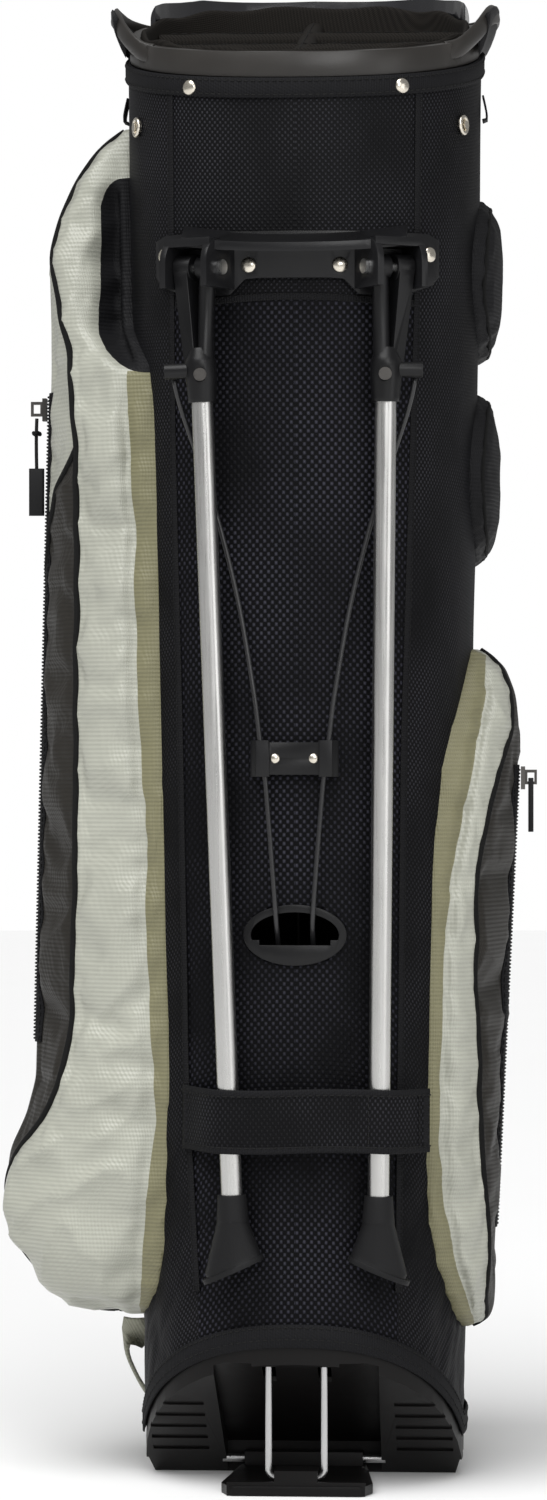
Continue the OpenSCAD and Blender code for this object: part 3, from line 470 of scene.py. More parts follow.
def curve_through(points, steps=6):
    """Open Catmull-Rom curve through points."""
    p = [Vector(q) for q in points]
    n = len(p)
    out = []
    for i in range(n - 1):
        a, b, c, d = (p[min(max(i + k, 0), n - 1)] for k in (-1, 0, 1, 2))
        for s in range(steps):
            t = s / steps
            square, cube = 2 * a - 5 * b + 4 * c - d, 3 * b - a - 3 * c + d
            out.append(0.5 * (2 * b + (c - a) * t + square * t * t + cube * t**3))
    return out + [p[-1]]


def as_rows(points):
    return np.array([tuple(p) for p in points])


def at(s, run, rows):
    """The place s metres along a line of rows, where run is how far along it each row is."""
    return np.array([np.interp(s, run, rows[:, k]) for k in range(3)])


def resampled(points, step, closed=False):
    points = list(points) + ([points[0]] if closed else [])
    run = lengths(points)
    count = max(2, int(round(run[-1] / step)) + 1)
    rows = as_rows(points)
    out = [Vector(at(s, run, rows)) for s in np.linspace(0, run[-1], count)]
    return out[:-1] if closed else out


def drawn(points, step=0.004, steps=6):
    """A smooth line through a few points, in even steps."""
    return resampled(curve_through(points, steps), step)


def eased(points, rounds, closed=False):
    """The same line with its small kinks taken out."""
    p = as_rows(points)
    for _ in range(rounds):
        q = (np.roll(p, 1, 0) + 2 * p + np.roll(p, -1, 0)) / 4
        if not closed:
            q[0], q[-1] = p[0], p[-1]
        p = q
    return [Vector(q) for q in p]


def joined(name, *made):
    """One piece from several."""
    mesh = bmesh.new()
    for piece in made:
        mesh.from_mesh(piece.data)
    out = add(name, [], [], made[0].data.materials[0])
    uv = made[0].data.uv_layers
    mesh.to_mesh(out.data)
    if uv and not out.data.uv_layers:
        out.data.uv_layers.new(name="UVMap")
    for piece in made:
        bpy.data.objects.remove(piece)
    out.data.shade_smooth()
    return out


def bead(centre, ahead, up, long, wide, tall):
    """Points and faces of one small rounded lump, such as a stitch or a zip tooth."""
    side = ahead.cross(up)
    points, k = [], 6
    for along, share in ((-0.5, 0.45), (-0.3, 1.0), (0.3, 1.0), (0.5, 0.45)):
        for a in range(k):
            turn = math.tau * a / k
            across, above = side * math.cos(turn) * wide, up * math.sin(turn) * tall
            points.append(centre + ahead * along * long + across / 2 * share + above / 2 * share)
    faces = []
    for r in range(3):
        for a, b in ((j, (j + 1) % k) for j in range(k)):
            faces.append((r * k + a, r * k + b, (r + 1) * k + b, (r + 1) * k + a))
    return points, faces + [tuple(range(k - 1, -1, -1)), tuple(range(3 * k, 4 * k))]


def beads(name, lumps, material):
    points, faces = [], []
    for lump_points, lump_faces in lumps:
        start = len(points)
        points += lump_points
        faces += [tuple(start + i for i in face) for face in lump_faces]
    return add(name, points, faces, material)


def stitches(name, runs, material, pitch=0.0042, long=0.0029, thick=0.0007):
    """Runs of stitches. Each run is a list of points and a list of the surface's normals there."""
    lumps = []
    for points, normals in runs:
        run = lengths(points)
        p, n = as_rows(points), as_rows(normals)
        for s in np.arange(pitch / 2, run[-1], pitch):
            here, up = Vector(at(s, run, p)), Vector(at(s, run, n))
            ahead = Vector(at(s + 0.001, run, p) - at(s - 0.001, run, p))
            if ahead.length > 1e-6:
                lumps.append(bead(here, ahead.normalized(), up.normalized(), long, thick * 1.3, thick))
    return beads(name, lumps, material)


# ---------------------------------------------------------------- cutting a surface into panels
def cut(mesh, field):
    """Splits the faces of a bmesh where field(rest point) changes sign. Returns the new edges."""
    rest = mesh.verts.layers.float_vector["rest"]
    value = {v: field(v[rest]) for v in mesh.verts}
    value = {v: x if abs(x) > 1e-5 else 1e-5 for v, x in value.items()}
    new = set()
    for edge in list(mesh.edges):
        a, b = value[edge.verts[0]], value[edge.verts[1]]
        if a * b < 0:
            _, made = bmesh.utils.edge_split(edge, edge.verts[0], a / (a - b))
            new.add(made)
    value.update({v: 0.0 for v in new})
    seam = []
    for face in {f for v in new for f in v.link_faces}:
        on = [v for v in face.verts if v in new]
        if len(on) == 2:
            made = bmesh.utils.face_split(face, on[0], on[1])
            if made[0] is not None:
                edge = mesh.edges.get(on)
                if edge:
                    seam.append(edge)
    return seam


def chains(edges, least):
    """Edges joined end to end into lines of points, without those shorter than least."""
    links = {}
    for edge in edges:
        for a, b in (edge.verts, reversed(edge.verts)):
            links.setdefault(a, []).append(b)
    found = []
    ends = sorted((v for v in links if len(links[v]) == 1), key=lambda v: tuple(v.co))
    rest = sorted(links, key=lambda v: tuple(v.co))
    seen = set()
    for start in ends + rest:
        if start in seen:
            continue
        line, here = [start], start
        seen.add(start)
        while True:
            onward = [v for v in links[here] if v not in seen]
            if not onward:
                break
            here = onward[0]
            seen.add(here)
            line.append(here)
        closed = len(line) > 3 and start in links[here]
        points = [v.co.copy() for v in line]
        if lengths(points)[-1] > least:
            found.append((points, closed))
    return found


def paint(mesh, choose):
    """Gives each face of a bmesh the material index that choose(rest point) returns for its middle."""
    rest = mesh.verts.layers.float_vector["rest"]
    for face in mesh.faces:
        total = Vector((0, 0, 0))
        for v in face.verts:
            total += v[rest]
        face.material_index = choose(total / len(face.verts))


# ---------------------------------------------------------------- cloth
def tube_normal(point):
    """Which way the tube's skin faces beside a point."""
    width, depth = half(point[2])
    power = SECTION_POWER - 1
    return Vector(
        (math.copysign(abs(point[0]) ** power, point[0]) / width**SECTION_POWER,
         math.copysign(abs(point[1]) ** power, point[1]) / depth**SECTION_POWER, 0)
    ).normalized()


SKIRT = 0.008


def keep_rest(mesh):
    """Stores where each vertex is now, which its folds, panels and colour are worked out from."""
    rest = mesh.attributes.new("rest", "FLOAT_VECTOR", "POINT")
    rest.data.foreach_set("vector", np.array([v.co for v in mesh.vertices], np.float32).ravel())


def cloth_copy(name, node, voxel, shrink, pinned):
    """A remeshed copy of a CAD solid, a little smaller, ready to be blown up by the cloth simulation.

    Its side against the tube is first carried on into the tube, so that remeshing keeps its thin edges.
    """
    solid = bmesh.new()
    solid.from_mesh(nodes[node].data)
    bmesh.ops.remove_doubles(solid, verts=solid.verts, dist=0.00001)
    inner = [f for f in solid.faces if all(outside(v.co) < 0.0007 for v in f.verts)]
    grown = bmesh.ops.extrude_face_region(solid, geom=inner)["geom"]
    bmesh.ops.delete(solid, geom=inner, context="FACES_ONLY")
    for v in grown:
        if isinstance(v, bmesh.types.BMVert):
            v.co -= tube_normal(v.co) * SKIRT
    mesh = bpy.data.meshes.new(name + "_source")
    solid.to_mesh(mesh)
    solid.free()
    source = bpy.data.objects.new(name + "_source", mesh)
    scene.collection.objects.link(source)
    remesh = source.modifiers.new("remesh", "REMESH")
    remesh.mode = "VOXEL"
    remesh.voxel_size = voxel
    graph = bpy.context.evaluated_depsgraph_get()
    mesh = bpy.data.meshes.new_from_object(source.evaluated_get(graph))
    bpy.data.objects.remove(source)
    piece = bpy.data.objects.new(name, mesh)
    scene.collection.objects.link(piece)
    mesh.materials.clear()
    held = [pinned(v.co) for v in mesh.vertices]
    keep_rest(mesh)
    moved = [v.co - (0 if h else shrink) * v.normal for v, h in zip(mesh.vertices, held)]
    mesh.vertices.foreach_set("co", np.array([tuple(p) for p in moved], np.float32).ravel())
    pins = piece.vertex_groups.new(name="pins")
    pins.add([i for i, h in enumerate(held) if h], 1.0, "REPLACE")
    return piece


CLOTH_FRAMES = 18
CLOTH = {"quality": 4, "mass": 0.3, "tension_stiffness": 20, "compression_stiffness": 20,
         "shear_stiffness": 8, "bending_stiffness": 0.6, "air_damping": 2,
         "vertex_group_mass": "pins", "use_pressure": True}


def simulate(pieces):
    """Blows up every (piece, pressure, spare cloth, greatest move) together and keeps the results."""
    starts = {}
    for piece, pressure, spare, _ in pieces:
        starts[piece.name] = as_rows(v.co for v in piece.data.vertices)
        cloth = piece.modifiers.new("cloth", "CLOTH").settings
        for setting, value in CLOTH.items():
            setattr(cloth, setting, value)
        cloth.uniform_pressure_force = pressure
        cloth.shrink_min = -spare
        cloth.effector_weights.gravity = 0
    for step in range(1, CLOTH_FRAMES + 1):
        scene.frame_set(step)
    graph = bpy.context.evaluated_depsgraph_get()
    for piece, _, _, most in pieces:
        done = bpy.data.meshes.new_from_object(piece.evaluated_get(graph))
        moved = as_rows(v.co for v in done.vertices) - starts[piece.name]
        far = np.linalg.norm(moved, axis=1, keepdims=True)
        kept = starts[piece.name] + moved * np.minimum(1, most / np.maximum(far, 1e-9))
        piece.modifiers.clear()
        piece.data.vertices.foreach_set("co", kept.astype(np.float32).ravel())
        piece.data.update()
        bpy.data.meshes.remove(done)
    scene.frame_set(1)


def tucked_in(piece):
    """Lays whatever went into the tube just under the tube's skin."""
    under_skin = 0.0022
    for v in piece.data.vertices:
        depth = outside(v.co)
        if depth < -under_skin:
            v.co -= tube_normal(v.co) * (depth + under_skin)


def subdivided(piece):
    smooth = piece.modifiers.new("smooth", "SUBSURF")
    smooth.levels = 1
    graph = bpy.context.evaluated_depsgraph_get()
    mesh = bpy.data.meshes.new_from_object(piece.evaluated_get(graph))
    piece.modifiers.clear()
    piece.data = mesh
    mesh.shade_smooth()
    return piece


def shift(piece, move):
    """Moves each vertex by move(rest point, normal)."""
    rest = piece.data.attributes["rest"].data
    moved = [tuple(v.co + move(rest[v.index].vector, v.normal)) for v in piece.data.vertices]
    piece.data.vertices.foreach_set("co", np.array(moved, np.float32).ravel())
    piece.data.update()


def ridges(a, b, seed):
    """Long soft folds: slow along a, quick across b."""
    value = noise.noise(Vector((a, b, seed)))
    return 1 - 2 * abs(value) ** 0.7


def knots(z, table):
    """Value at z on the line through a few (z, value) points, from the lowest up."""
    return float(np.interp(z, [k[0] for k in table], [k[1] for k in table]))


def bearing(point):
    """Degrees round the tube's axis, 0 at the side and negative towards the legs."""
    return math.degrees(math.atan2(point[1], abs(point[0])))


def in_panel(x, z, low, high, radius, low_radius=None):
    """Signed distance from a rounded panel's edge, positive inside. low and high are its (x, z) corners."""
    if low_radius and z < (low[1] + high[1]) / 2:
        radius = low_radius
    centre = [(a + b) / 2 for a, b in zip(low, high)]
    reach = [abs(p - c) - (b - a) / 2 + radius for p, c, a, b in zip((x, z), centre, low, high)]
    return radius - math.hypot(max(reach[0], 0), max(reach[1], 0)) - min(max(reach), 0)


# The side pockets' piping and creases, as (height, degrees round from the side) or (height, |x|).
LEFT_PIPING = [(0.085, 3), (0.12, 2), (0.15, 0.5), (0.168, -2), (0.181, -5), (0.199, -11), (0.217, -17),
               (0.24, -22), (0.62, -23), (0.672, -20), (0.735, -11), (0.778, -6), (0.80, -3), (0.83, -2)]
LEFT_BRANCH = [(0.40, 90), (0.44, 34), (0.508, 9), (0.545, 2), (0.575, -4), (0.6, -12), (0.624, -23), (0.65, -45)]
LEFT_REAR = [(0.085, 5), (0.12, 12), (0.2, 24), (0.3, 28), (0.6, 26), (0.68, 19), (0.74, 12), (0.78, 6),
             (0.80, 3), (0.83, 1)]
LEFT_CREASE = [(0.10, 0.098), (0.22, 0.086), (0.45, 0.095), (0.606, 0.1005), (0.66, 0.103)]
RIGHT_PIPING = [(0.095, -4), (0.115, -20), (0.196, -29.5), (0.30, -32), (0.367, -32), (0.398, -29), (0.435, -23),
                (0.459, -11), (0.49, -4), (0.503, 0)]
RIGHT_REAR = [(0.095, 6), (0.13, 26), (0.2, 34), (0.42, 34), (0.47, 16), (0.503, 4)]
RIGHT_CREASE = [(0.098, 0.104), (0.129, 0.0946), (0.166, 0.088), (0.208, 0.084), (0.319, 0.087), (0.367, 0.0915),
                (0.398, 0.0976), (0.435, 0.104), (0.472, 0.111)]
GAP = ((0.020, 0.667), (0.1245, 0.789), 0.018, 0.034)
BALL_PANEL = ((-0.066, 0.076), (0.066, 0.338), 0.03)
ZIP_Y = 0.003


def left_fields():
    pipe = lambda p: bearing(p) - knots(p[2], LEFT_PIPING)
    branch = lambda p: knots(p[2], LEFT_BRANCH) - bearing(p)
    rear = lambda p: knots(p[2], LEFT_REAR) - bearing(p)
    crease = lambda p: abs(p[0]) - knots(p[2], LEFT_CREASE) if bearing(p) < -18 else 0.01
    gap = lambda p: in_panel(abs(p[0]), p[2], *GAP) if p[1] < 0 else -0.01
    return pipe, branch, rear, crease, gap


def right_fields():
    pipe = lambda p: bearing(p) - knots(p[2], RIGHT_PIPING)
    rear = lambda p: knots(p[2], RIGHT_REAR) - bearing(p)
    crease = lambda p: abs(p[0]) - knots(p[2], RIGHT_CREASE) if bearing(p) < -6 else 0.01
    return pipe, rear, crease


def piping_on(name, lines, radius, material):
    """A piped seam along each line of points."""
    made = []
    for i, (points, closed) in enumerate(lines):
        line = resampled(eased(resampled(points, 0.003, closed), 8, closed), 0.004, closed)
        side = [Vector((p.x, p.y, 0)).normalized() + Vector((0, 0, 0.01)) for p in line]
        made.append(sweep(f"{name}_{i}", line, round_profile(radius, 8), side, material, closed))
    return joined(name, *made)


# The fields whose seams are piped, and where along its seam each one is.
PIPED = {
    "pipe": lambda f, p: outside(p) > 0.004,
    "rear": lambda f, p: outside(p) > 0.004 and p.y > -0.02,
    "branch": lambda f, p: f["pipe"](p) > 0.3 and f["rear"](p) > 0.3,
    "edge": lambda f, p: True,
}


def panelled(piece, fields, colour, *materials):
    """Cuts a finished piece into its panels, each with its material. Returns the piped lines."""
    mesh = bmesh.new()
    mesh.from_mesh(piece.data)
    lines = []
    for key, field in fields.items():
        seam = cut(mesh, field)
        if key in PIPED:
            on = [e for e in seam if PIPED[key](fields, (e.verts[0].co + e.verts[1].co) / 2)]
            lines += chains(on, 0.05)
    paint(mesh, colour)
    mesh.to_mesh(piece.data)
    mesh.free()
    for material in materials:
        piece.data.materials.append(material)
    piece.data.shade_smooth()
    return lines


def pin_near(tube_gap, zip_reach=None, lines=()):
    """Holds the cloth where it is sewn to the tube, along the zip and along the piped lines."""

    def held(point):
        if outside(point) < tube_gap or any(abs(line(point)) < 1.4 for line in lines):
            return True
        return zip_reach is not None and abs(point.y - ZIP_Y) < zip_reach

    return held


def side_pockets():
    pipe, branch, rear, _, _ = left_fields()
    lower_branch = lambda p: branch(p) if pipe(p) > -1 and p[2] < 0.64 else 90
    left_pins = pin_near(0.004, 0.007, (pipe, lower_branch, rear))
    left = cloth_copy("left_pocket_cloth", "left_pocket", 0.0055, 0.0015, left_pins)
    right_lines = right_fields()[:2]
    right = cloth_copy("right_pocket_cloth", "right_pocket", 0.0050, 0.0015, pin_near(0.004, 0.007, right_lines))
    ball = cloth_copy("ball_pocket_cloth", "ball_pocket", 0.0055, 0.0015, pin_near(0.004))
    upper = cloth_copy("pouch_upper_cloth", "pouch_upper", 0.0035, 0.001, pin_near(0.003))
    lower = cloth_copy("pouch_lower_cloth", "pouch_lower", 0.0035, 0.001, pin_near(0.003))
    simulate([(left, 3.0, 0.035, 0.009), (right, 3.0, 0.035, 0.007), (ball, 3.0, 0.03, 0.008),
              (upper, 2.0, 0.03, 0.004), (lower, 2.0, 0.03, 0.004)])
    for piece in (left, right, ball, upper, lower):
        subdivided(piece)
        tucked_in(piece)
    finish_left(left)
    finish_right(right)
    finish_ball(ball)
    finish_pouches(upper, lower)
    return left, right, ball


def bump(x, width):
    return math.exp(-((x / width) ** 2))


def smooth_step(low, high, x):
    t = min(1.0, max(0.0, (x - low) / (high - low)))
    return t * t * (3 - 2 * t)


def finish_left(piece):
    pipe, branch, rear, crease, gap = left_fields()

    def move(rest, normal):
        z = rest[2]
        out = Vector((0, 0, 0))
        free = smooth_step(0.004, 0.02, outside(rest))
        if abs(rest[1] - ZIP_Y) > 0.008:
            wide = ridges(rest[0] * 16 + z * 14, z * 26 - rest[0] * 30, 3.0) * 0.0018
            low = 1 - smooth_step(0.16, 0.34, z)
            high = smooth_step(0.56, 0.62, z)
            near_zip = smooth_step(0.008, 0.02, abs(rest[1] - ZIP_Y))
            out += normal * wide * free * (0.8 + 1.5 * low + 0.7 * high) * near_zip
            pucker = math.sin(z * 520 + 3 * noise.noise(rest * 30)) * 0.0004
            if bearing(rest) < -18:
                out += normal * pucker * free * bump(crease(rest), 0.009)
        out += Vector((-0.0013, 0, 0)) * bump(rest[1] - ZIP_Y, 0.010) * free
        if bearing(rest) < -18 and z < 0.672:
            valley = bump(crease(rest), 0.0048)
            out += Vector((0, 0.0085, 0)) * valley * free * smooth_step(0.672, 0.64, z)
        inside = gap(rest)
        if inside > -0.004:
            deep = smooth_step(-0.004, 0.010, inside) * free
            out += Vector((0.010, 0.024, 0)) * deep
        return out

    shift(piece, move)
    fields = {"pipe": pipe, "branch": branch, "rear": rear, "crease": crease, "gap": gap}

    def colour(p):
        if gap(p) > 0:
            return 3
        if pipe(p) > 0 and branch(p) > 0 and rear(p) > 0:
            return 1
        # painted shade: the recessed gusset beyond the crease gets the darker, warmer copy of the silver cloth
        if bearing(p) < -18 and crease(p) < 0 and p[2] < 0.668:
            return 2
        return 0

    lines = panelled(piece, fields, colour, silver_cloth, charcoal_cloth, shaded_silver_cloth, black_cloth)
    place(piece, "silver_fabric", stands_for=("left_pocket",))
    place(piping_on("left_pocket_piping", lines, 0.0021, piping_cord), "webbing")


def finish_right(piece):
    pipe, rear, crease = right_fields()

    def move(rest, normal):
        z = rest[2]
        free = smooth_step(0.003, 0.012, outside(rest))
        near_zip = smooth_step(0.008, 0.02, abs(rest[1] - ZIP_Y))
        out = normal * ridges(rest[0] * 18 - z * 12, z * 30 + rest[0] * 30, 8.0) * 0.0014 * free * near_zip
        out += Vector((0.0013, 0, 0)) * bump(rest[1] - ZIP_Y, 0.010) * free
        if bearing(rest) < -6:
            across = crease(rest)
            out += Vector((0, 0.0055, 0)) * bump(across, 0.004) * free
            out += Vector((0, -0.0022, 0)) * bump(across - 0.010, 0.007) * free
        return out

    shift(piece, move)
    fields = {"pipe": pipe, "rear": rear, "crease": crease}

    def colour(p):
        if pipe(p) > 0 and rear(p) > 0:
            return 1
        # painted shade: the shaded inner side of the crease gets the darker, warmer copy of the silver cloth
        if bearing(p) < -6 and crease(p) < 0:
            return 2
        return 0

    lines = panelled(piece, fields, colour, silver_cloth, charcoal_cloth, shaded_silver_cloth)
    place(piece, "silver_fabric", stands_for=("right_pocket",))
    place(piping_on("right_pocket_piping", lines, 0.0019, piping_cord), "webbing")


def finish_ball(piece):
    panel = lambda p: in_panel(p[0], p[2], *BALL_PANEL) if p[1] > 0.13 else -0.01

    def move(rest, normal):
        free = smooth_step(0.004, 0.02, outside(rest))
        near_zip = smooth_step(0.006, 0.02, abs(rest[2] - 0.262))
        fold = ridges(rest[0] * 20 + rest[2] * 10, rest[2] * 28 - rest[0] * 12, 5.0)
        return normal * fold * 0.0013 * free * near_zip

    shift(piece, move)
    colour = lambda p: 1 if panel(p) > 0 else 0
    lines = panelled(piece, {"edge": panel}, colour, silver_cloth, charcoal_cloth)
    place(piece, "silver_fabric", stands_for=("ball_pocket",))
    place(piping_on("ball_pocket_piping", lines, 0.002, piping_cord), "webbing")


def finish_pouches(upper, lower):
    lines = []
    for piece, node in ((upper, "pouch_upper"), (lower, "pouch_lower")):
        shift(piece, lambda rest, normal: normal * ridges(rest[1] * 25, rest[2] * 40, 2.0) * 0.0006
              * smooth_step(0.003, 0.01, outside(rest)))
        edge = lambda p: outside(p) - 0.0075
        lines += panelled(piece, {"edge": edge}, lambda p: 0, black_cloth)
        place(piece, "black_fabric", stands_for=(node,))
    place(piping_on("pouch_piping", lines, 0.0014, piping_cord), "webbing")


# ---------------------------------------------------------------- the fabric tube
SEAM_RIGHT = [(0.10, 0.060), (0.44, 0.0635), (0.70, 0.071), (0.86, 0.0725)]
SEAM_LEFT = [(0.10, 0.058), (0.24, 0.0655), (0.44, 0.0690), (0.62, 0.0735), (0.86, 0.0755)]
NET_TOP = 0.708


def body_skin():
    """The stiffened fabric wall, with the coarse net panel between the legs and the rods' opening."""
    columns, levels = 200, 150
    rows = []
    for i in range(levels + 1):
        row = []
        for j in range(columns):
            angle = math.tau * j / columns - math.pi / 2
            low, high = hem_height(angle, 0.001), collar_height(angle, -0.0152)
            z = low + (high - low) * i / levels
            dent = -0.0013 * max(0.0, noise.noise(Vector((3 * math.cos(angle), 3 * math.sin(angle), z * 9))))
            low_down = 1 - smooth_step(0.18, 0.3, z)
            wrinkle = -0.0013 * max(0.0, ridges(z * 7 + angle * 2, z * 40 - angle * 7, 1.0)) * low_down
            row.append(skin(angle, z, dent + wrinkle))
        rows.append(row)
    piece = grid("body_skin", [list(r) for r in zip(*rows)], net_fine, along=True)
    keep_rest(piece.data)

    def front_panel(p):
        if p[1] > 0:
            return -0.01
        side = knots(p[2], SEAM_RIGHT) - p[0] if p[0] > 0 else knots(p[2], SEAM_LEFT) + p[0]
        return min(side, NET_TOP - p[2])

    def port(p):
        return -1.0 if p[1] > 0 else 1 - (p[0] / 0.0283) ** 2 - ((p[2] - 0.332) / 0.0158) ** 2

    mesh = bmesh.new()
    mesh.from_mesh(piece.data)
    cut(mesh, front_panel)
    cut(mesh, port)
    paint(mesh, lambda p: 1 if front_panel(p) > 0 else 0)
    layer = mesh.verts.layers.float_vector["rest"]
    opening = [f for f in mesh.faces if port(sum((v[layer] for v in f.verts), Vector()) / len(f.verts)) > 0]
    bmesh.ops.delete(mesh, geom=opening, context="FACES")
    bmesh.ops.reverse_faces(mesh, faces=mesh.faces)
    mesh.to_mesh(piece.data)
    mesh.free()
    piece.data.materials.append(net_coarse)
    piece.data.materials.append(lining_cloth)
    wall = piece.modifiers.new("wall", "SOLIDIFY")
    wall.thickness = WALL
    wall.offset = -1.0
    wall.material_offset = 2
    place(piece, "black_fabric", stands_for=("body_tube",))


def tube_line(points, off):
    """Points and normals on the tube's front through (x, z) points."""
    line = [(front_angle(p.x, p.z), p.z) for p in drawn([(x, 0, z) for x, z in points], 0.006)]
    return [skin(a, z, off) for a, z in line], [skin_normal(a, z) for a, z in line]


def panel_seams():
    """Felled seams beside and above the net panel, with two rows of stitches each."""
    right = [(knots(z, SEAM_RIGHT), z) for z in np.linspace(0.12, 0.834, 12)]
    left = [(-knots(z, SEAM_LEFT), z) for z in np.linspace(0.12, 0.834, 12)]
    over = [(x, NET_TOP - 0.0015 + 0.0015 * math.cos(x * 40)) for x in np.linspace(-0.072, 0.070, 9)]
    made, runs = [], []
    for i, seam in enumerate((right, left, over)):
        path, normals = tube_line(seam, 0.0001)
        made.append(sweep(f"seam_{i}", path, strap_profile(0.0046, 0.0008, 3), normals, black_tape))
        for shift_by in (-0.0015, 0.0015):
            moved = [(x + (0 if i == 2 else shift_by), z + (shift_by if i == 2 else 0)) for x, z in seam]
            runs.append(tube_line(moved, 0.0006))
    place(joined("panel_seams", *made), "black_fabric")
    place(stitches("panel_stitches", runs, black_thread, 0.0040, 0.0026, 0.0005), "black_fabric")


HOOP_STEPS = 180


def hoop(name, low, high, off, thick, material):
    """A tape round the tube between two heights, each a function of the angle."""
    rows = []
    for j in range(HOOP_STEPS):
        angle = math.tau * j / HOOP_STEPS
        a, b = low(angle), high(angle)
        edge = thick * 0.5
        section = [(a + edge, off + thick), ((a + b) / 2, off + thick * 1.02), (b - edge, off + thick),
                   (b, off + thick * 0.6), (b, off), (a, off), (a, off + thick * 0.6)]
        rows.append([skin(angle, z, o) for z, o in section])
    return grid(name, rows, material, around=True, along=True)


def hoop_stitches(low, off):
    angles = [math.tau * j / HOOP_STEPS for j in range(HOOP_STEPS + 1)]
    return [skin(a, low(a), off) for a in angles], [skin_normal(a, 0.5) for a in angles]


def bindings():
    hem_low, hem_high = lambda a: hem_height(a, -0.0035), lambda a: hem_height(a, 0.0105)
    hem = hoop("hem_tape", hem_low, hem_high, 0.0003, 0.0013, black_tape)
    place(hem, "webbing", stands_for=("base_binding",))
    top_low, top_high = lambda a: collar_height(a, -0.0271), lambda a: collar_height(a, -0.0150)
    collar = hoop("collar_tape", top_low, top_high, 0.0003, 0.0014, black_tape)
    place(collar, "webbing", stands_for=("collar_binding",))
    runs = [hoop_stitches(lambda a: hem_height(a, 0.0086), 0.0017),
            hoop_stitches(lambda a: hem_height(a, 0.0015), 0.0017),
            hoop_stitches(lambda a: collar_height(a, -0.0252), 0.0018),
            hoop_stitches(lambda a: collar_height(a, -0.0170), 0.0018)]
    place(stitches("binding_stitches", runs, black_thread), "webbing")


# ---------------------------------------------------------------- cuff, lining and dividers
def padded_rim():
    """The puffy mesh lip inside the cuff, quilted between its dividers' ends."""
    rows = []
    count = 160
    for j in range(count):
        angle = math.tau * j / count
        base = skin(angle, RIM_Z)
        top = rim_height(base.y, 0.0035)
        swell = 0.0012 * math.sin(angle * 12) + 0.0008 * noise.noise(base * 30)
        section = []
        for a in np.linspace(-0.5 * math.pi, 0.5 * math.pi, 9):
            section.append((top - 0.0045 + 0.0045 * math.cos(a) + swell, -0.0098 + 0.0021 * math.sin(a)))
        inner = [(top - s, -0.0123 - 0.0018 * math.sin(s * 60)) for s in (0.052, 0.040, 0.028, 0.016)]
        outer = [(top - s, -0.0078) for s in (0.016, 0.030, 0.050)]
        ring = inner + section + outer
        rows.append([skin(angle, z, off) for z, off in ring])
    piece = grid("padded_rim", rows, lining_mesh, around=True, along=True)
    place(piece, "lining", stands_for=("cuff_lining",))


def divider_panel(name, start, end, low, high, slope_y):
    """A fabric wall between two cells, rippled a little, its foot level and its head parallel to the rim."""
    rows = []
    thick = 0.0008
    for s in np.linspace(0, 1, 22):
        base = start.lerp(end, s)
        top = rim_height(base.y if slope_y else start.y, high)
        row = []
        for z in np.linspace(low, top, 34):
            fade = math.sin(math.pi * s)
            row.append((base, z, fade * 0.0022 * noise.noise(Vector((base.x * 12, base.y * 12, z * 7)))))
        rows.append(row)
    across = Vector((-(end - start).y, (end - start).x, 0)).normalized()
    front = [[Vector((b.x, b.y, z)) + across * (r + thick) for b, z, r in row] for row in rows]
    back = [[Vector((b.x, b.y, z)) + across * (r - thick) for b, z, r in reversed(row)] for row in rows]
    return grid(name, [f + b for f, b in zip(front, back)], lining_cloth, around=True, caps=True)


def dividers():
    cross_y = 0.034
    y_front, y_back = -0.079, 0.104
    ends = Vector((0, y_front, 0)), Vector((0, y_back, 0))
    long_wall = divider_panel("divider_wall_long", *ends, 0.11, -0.018, True)
    place(long_wall, "lining", stands_for=("divider_long",))
    made = []
    for i, y in enumerate((-cross_y, cross_y)):
        for s in (-1, 1):
            ends = Vector((s * 0.0012, y, 0)), Vector((s * 0.089, y, 0))
            made.append(divider_panel(f"wall_{i}_{s}", *ends, 0.10, -0.018, False))
    place(joined("divider_walls_cross", *made), "lining", stands_for=("divider_cross",))
    bars = []
    spans = [((0, -0.1045, 0), (0, 0.1045, 0))]
    spans += [((-0.0925, y, 0), (0.0925, y, 0)) for y in (-cross_y, cross_y)]
    for i, (a, b) in enumerate(spans):
        path = resampled([Vector(a), Vector(b)], 0.004)
        path = [Vector((p.x, p.y, rim_height(p.y, -0.0100))) for p in path]
        girth = lambda p, grain: 0.0066 + 0.0005 * noise.noise(p * grain)
        sections = [oval_profile(girth(p, 60), girth(p, 55), 14) for p in path]
        bars.append(sweep(f"bar_{i}", path, sections, Vector((0, 0, 1)), lining_mesh))
    bars_piece = joined("divider_pads", *bars)
    place(bars_piece, "lining", stands_for=("divider_bars",))
    plans = [[(0, y) for y in np.linspace(-0.098, 0.098, 30)]]
    plans += [[(x, y) for x in np.linspace(-0.086, 0.086, 26)] for y in (-cross_y, cross_y)]
    runs = []
    for plan in plans:
        line = [Vector((x, y, rim_height(y, -0.0031))) for x, y in plan]
        runs.append((line, [Vector((0, 0, 1))] * len(line)))
    place(stitches("divider_stitches", runs, black_thread, 0.006, 0.004), "lining")


# ---------------------------------------------------------------- zips
def zip_ends(picks, axis):
    """The two ends of one zip's middle line, from the CAD tape whose points pass picks."""
    found = [v.co for v in nodes["zip_tapes"].data.vertices if picks(v.co)]
    low, high = min(p[axis] for p in found), max(p[axis] for p in found)
    ends = []
    for value in (low, high):
        near = [p for p in found if abs(p[axis] - value) < 0.001]
        ends.append(sum((Vector(p) for p in near), Vector()) / len(near))
    return ends


# A tape's section: distance from the zip's middle and height above the cloth.
TAPE_SECTION = [(0.0012, 0.0007), (0.0025, 0.0012), (0.0050, 0.0012), (0.0075, 0.0011), (0.0094, 0.0009)]


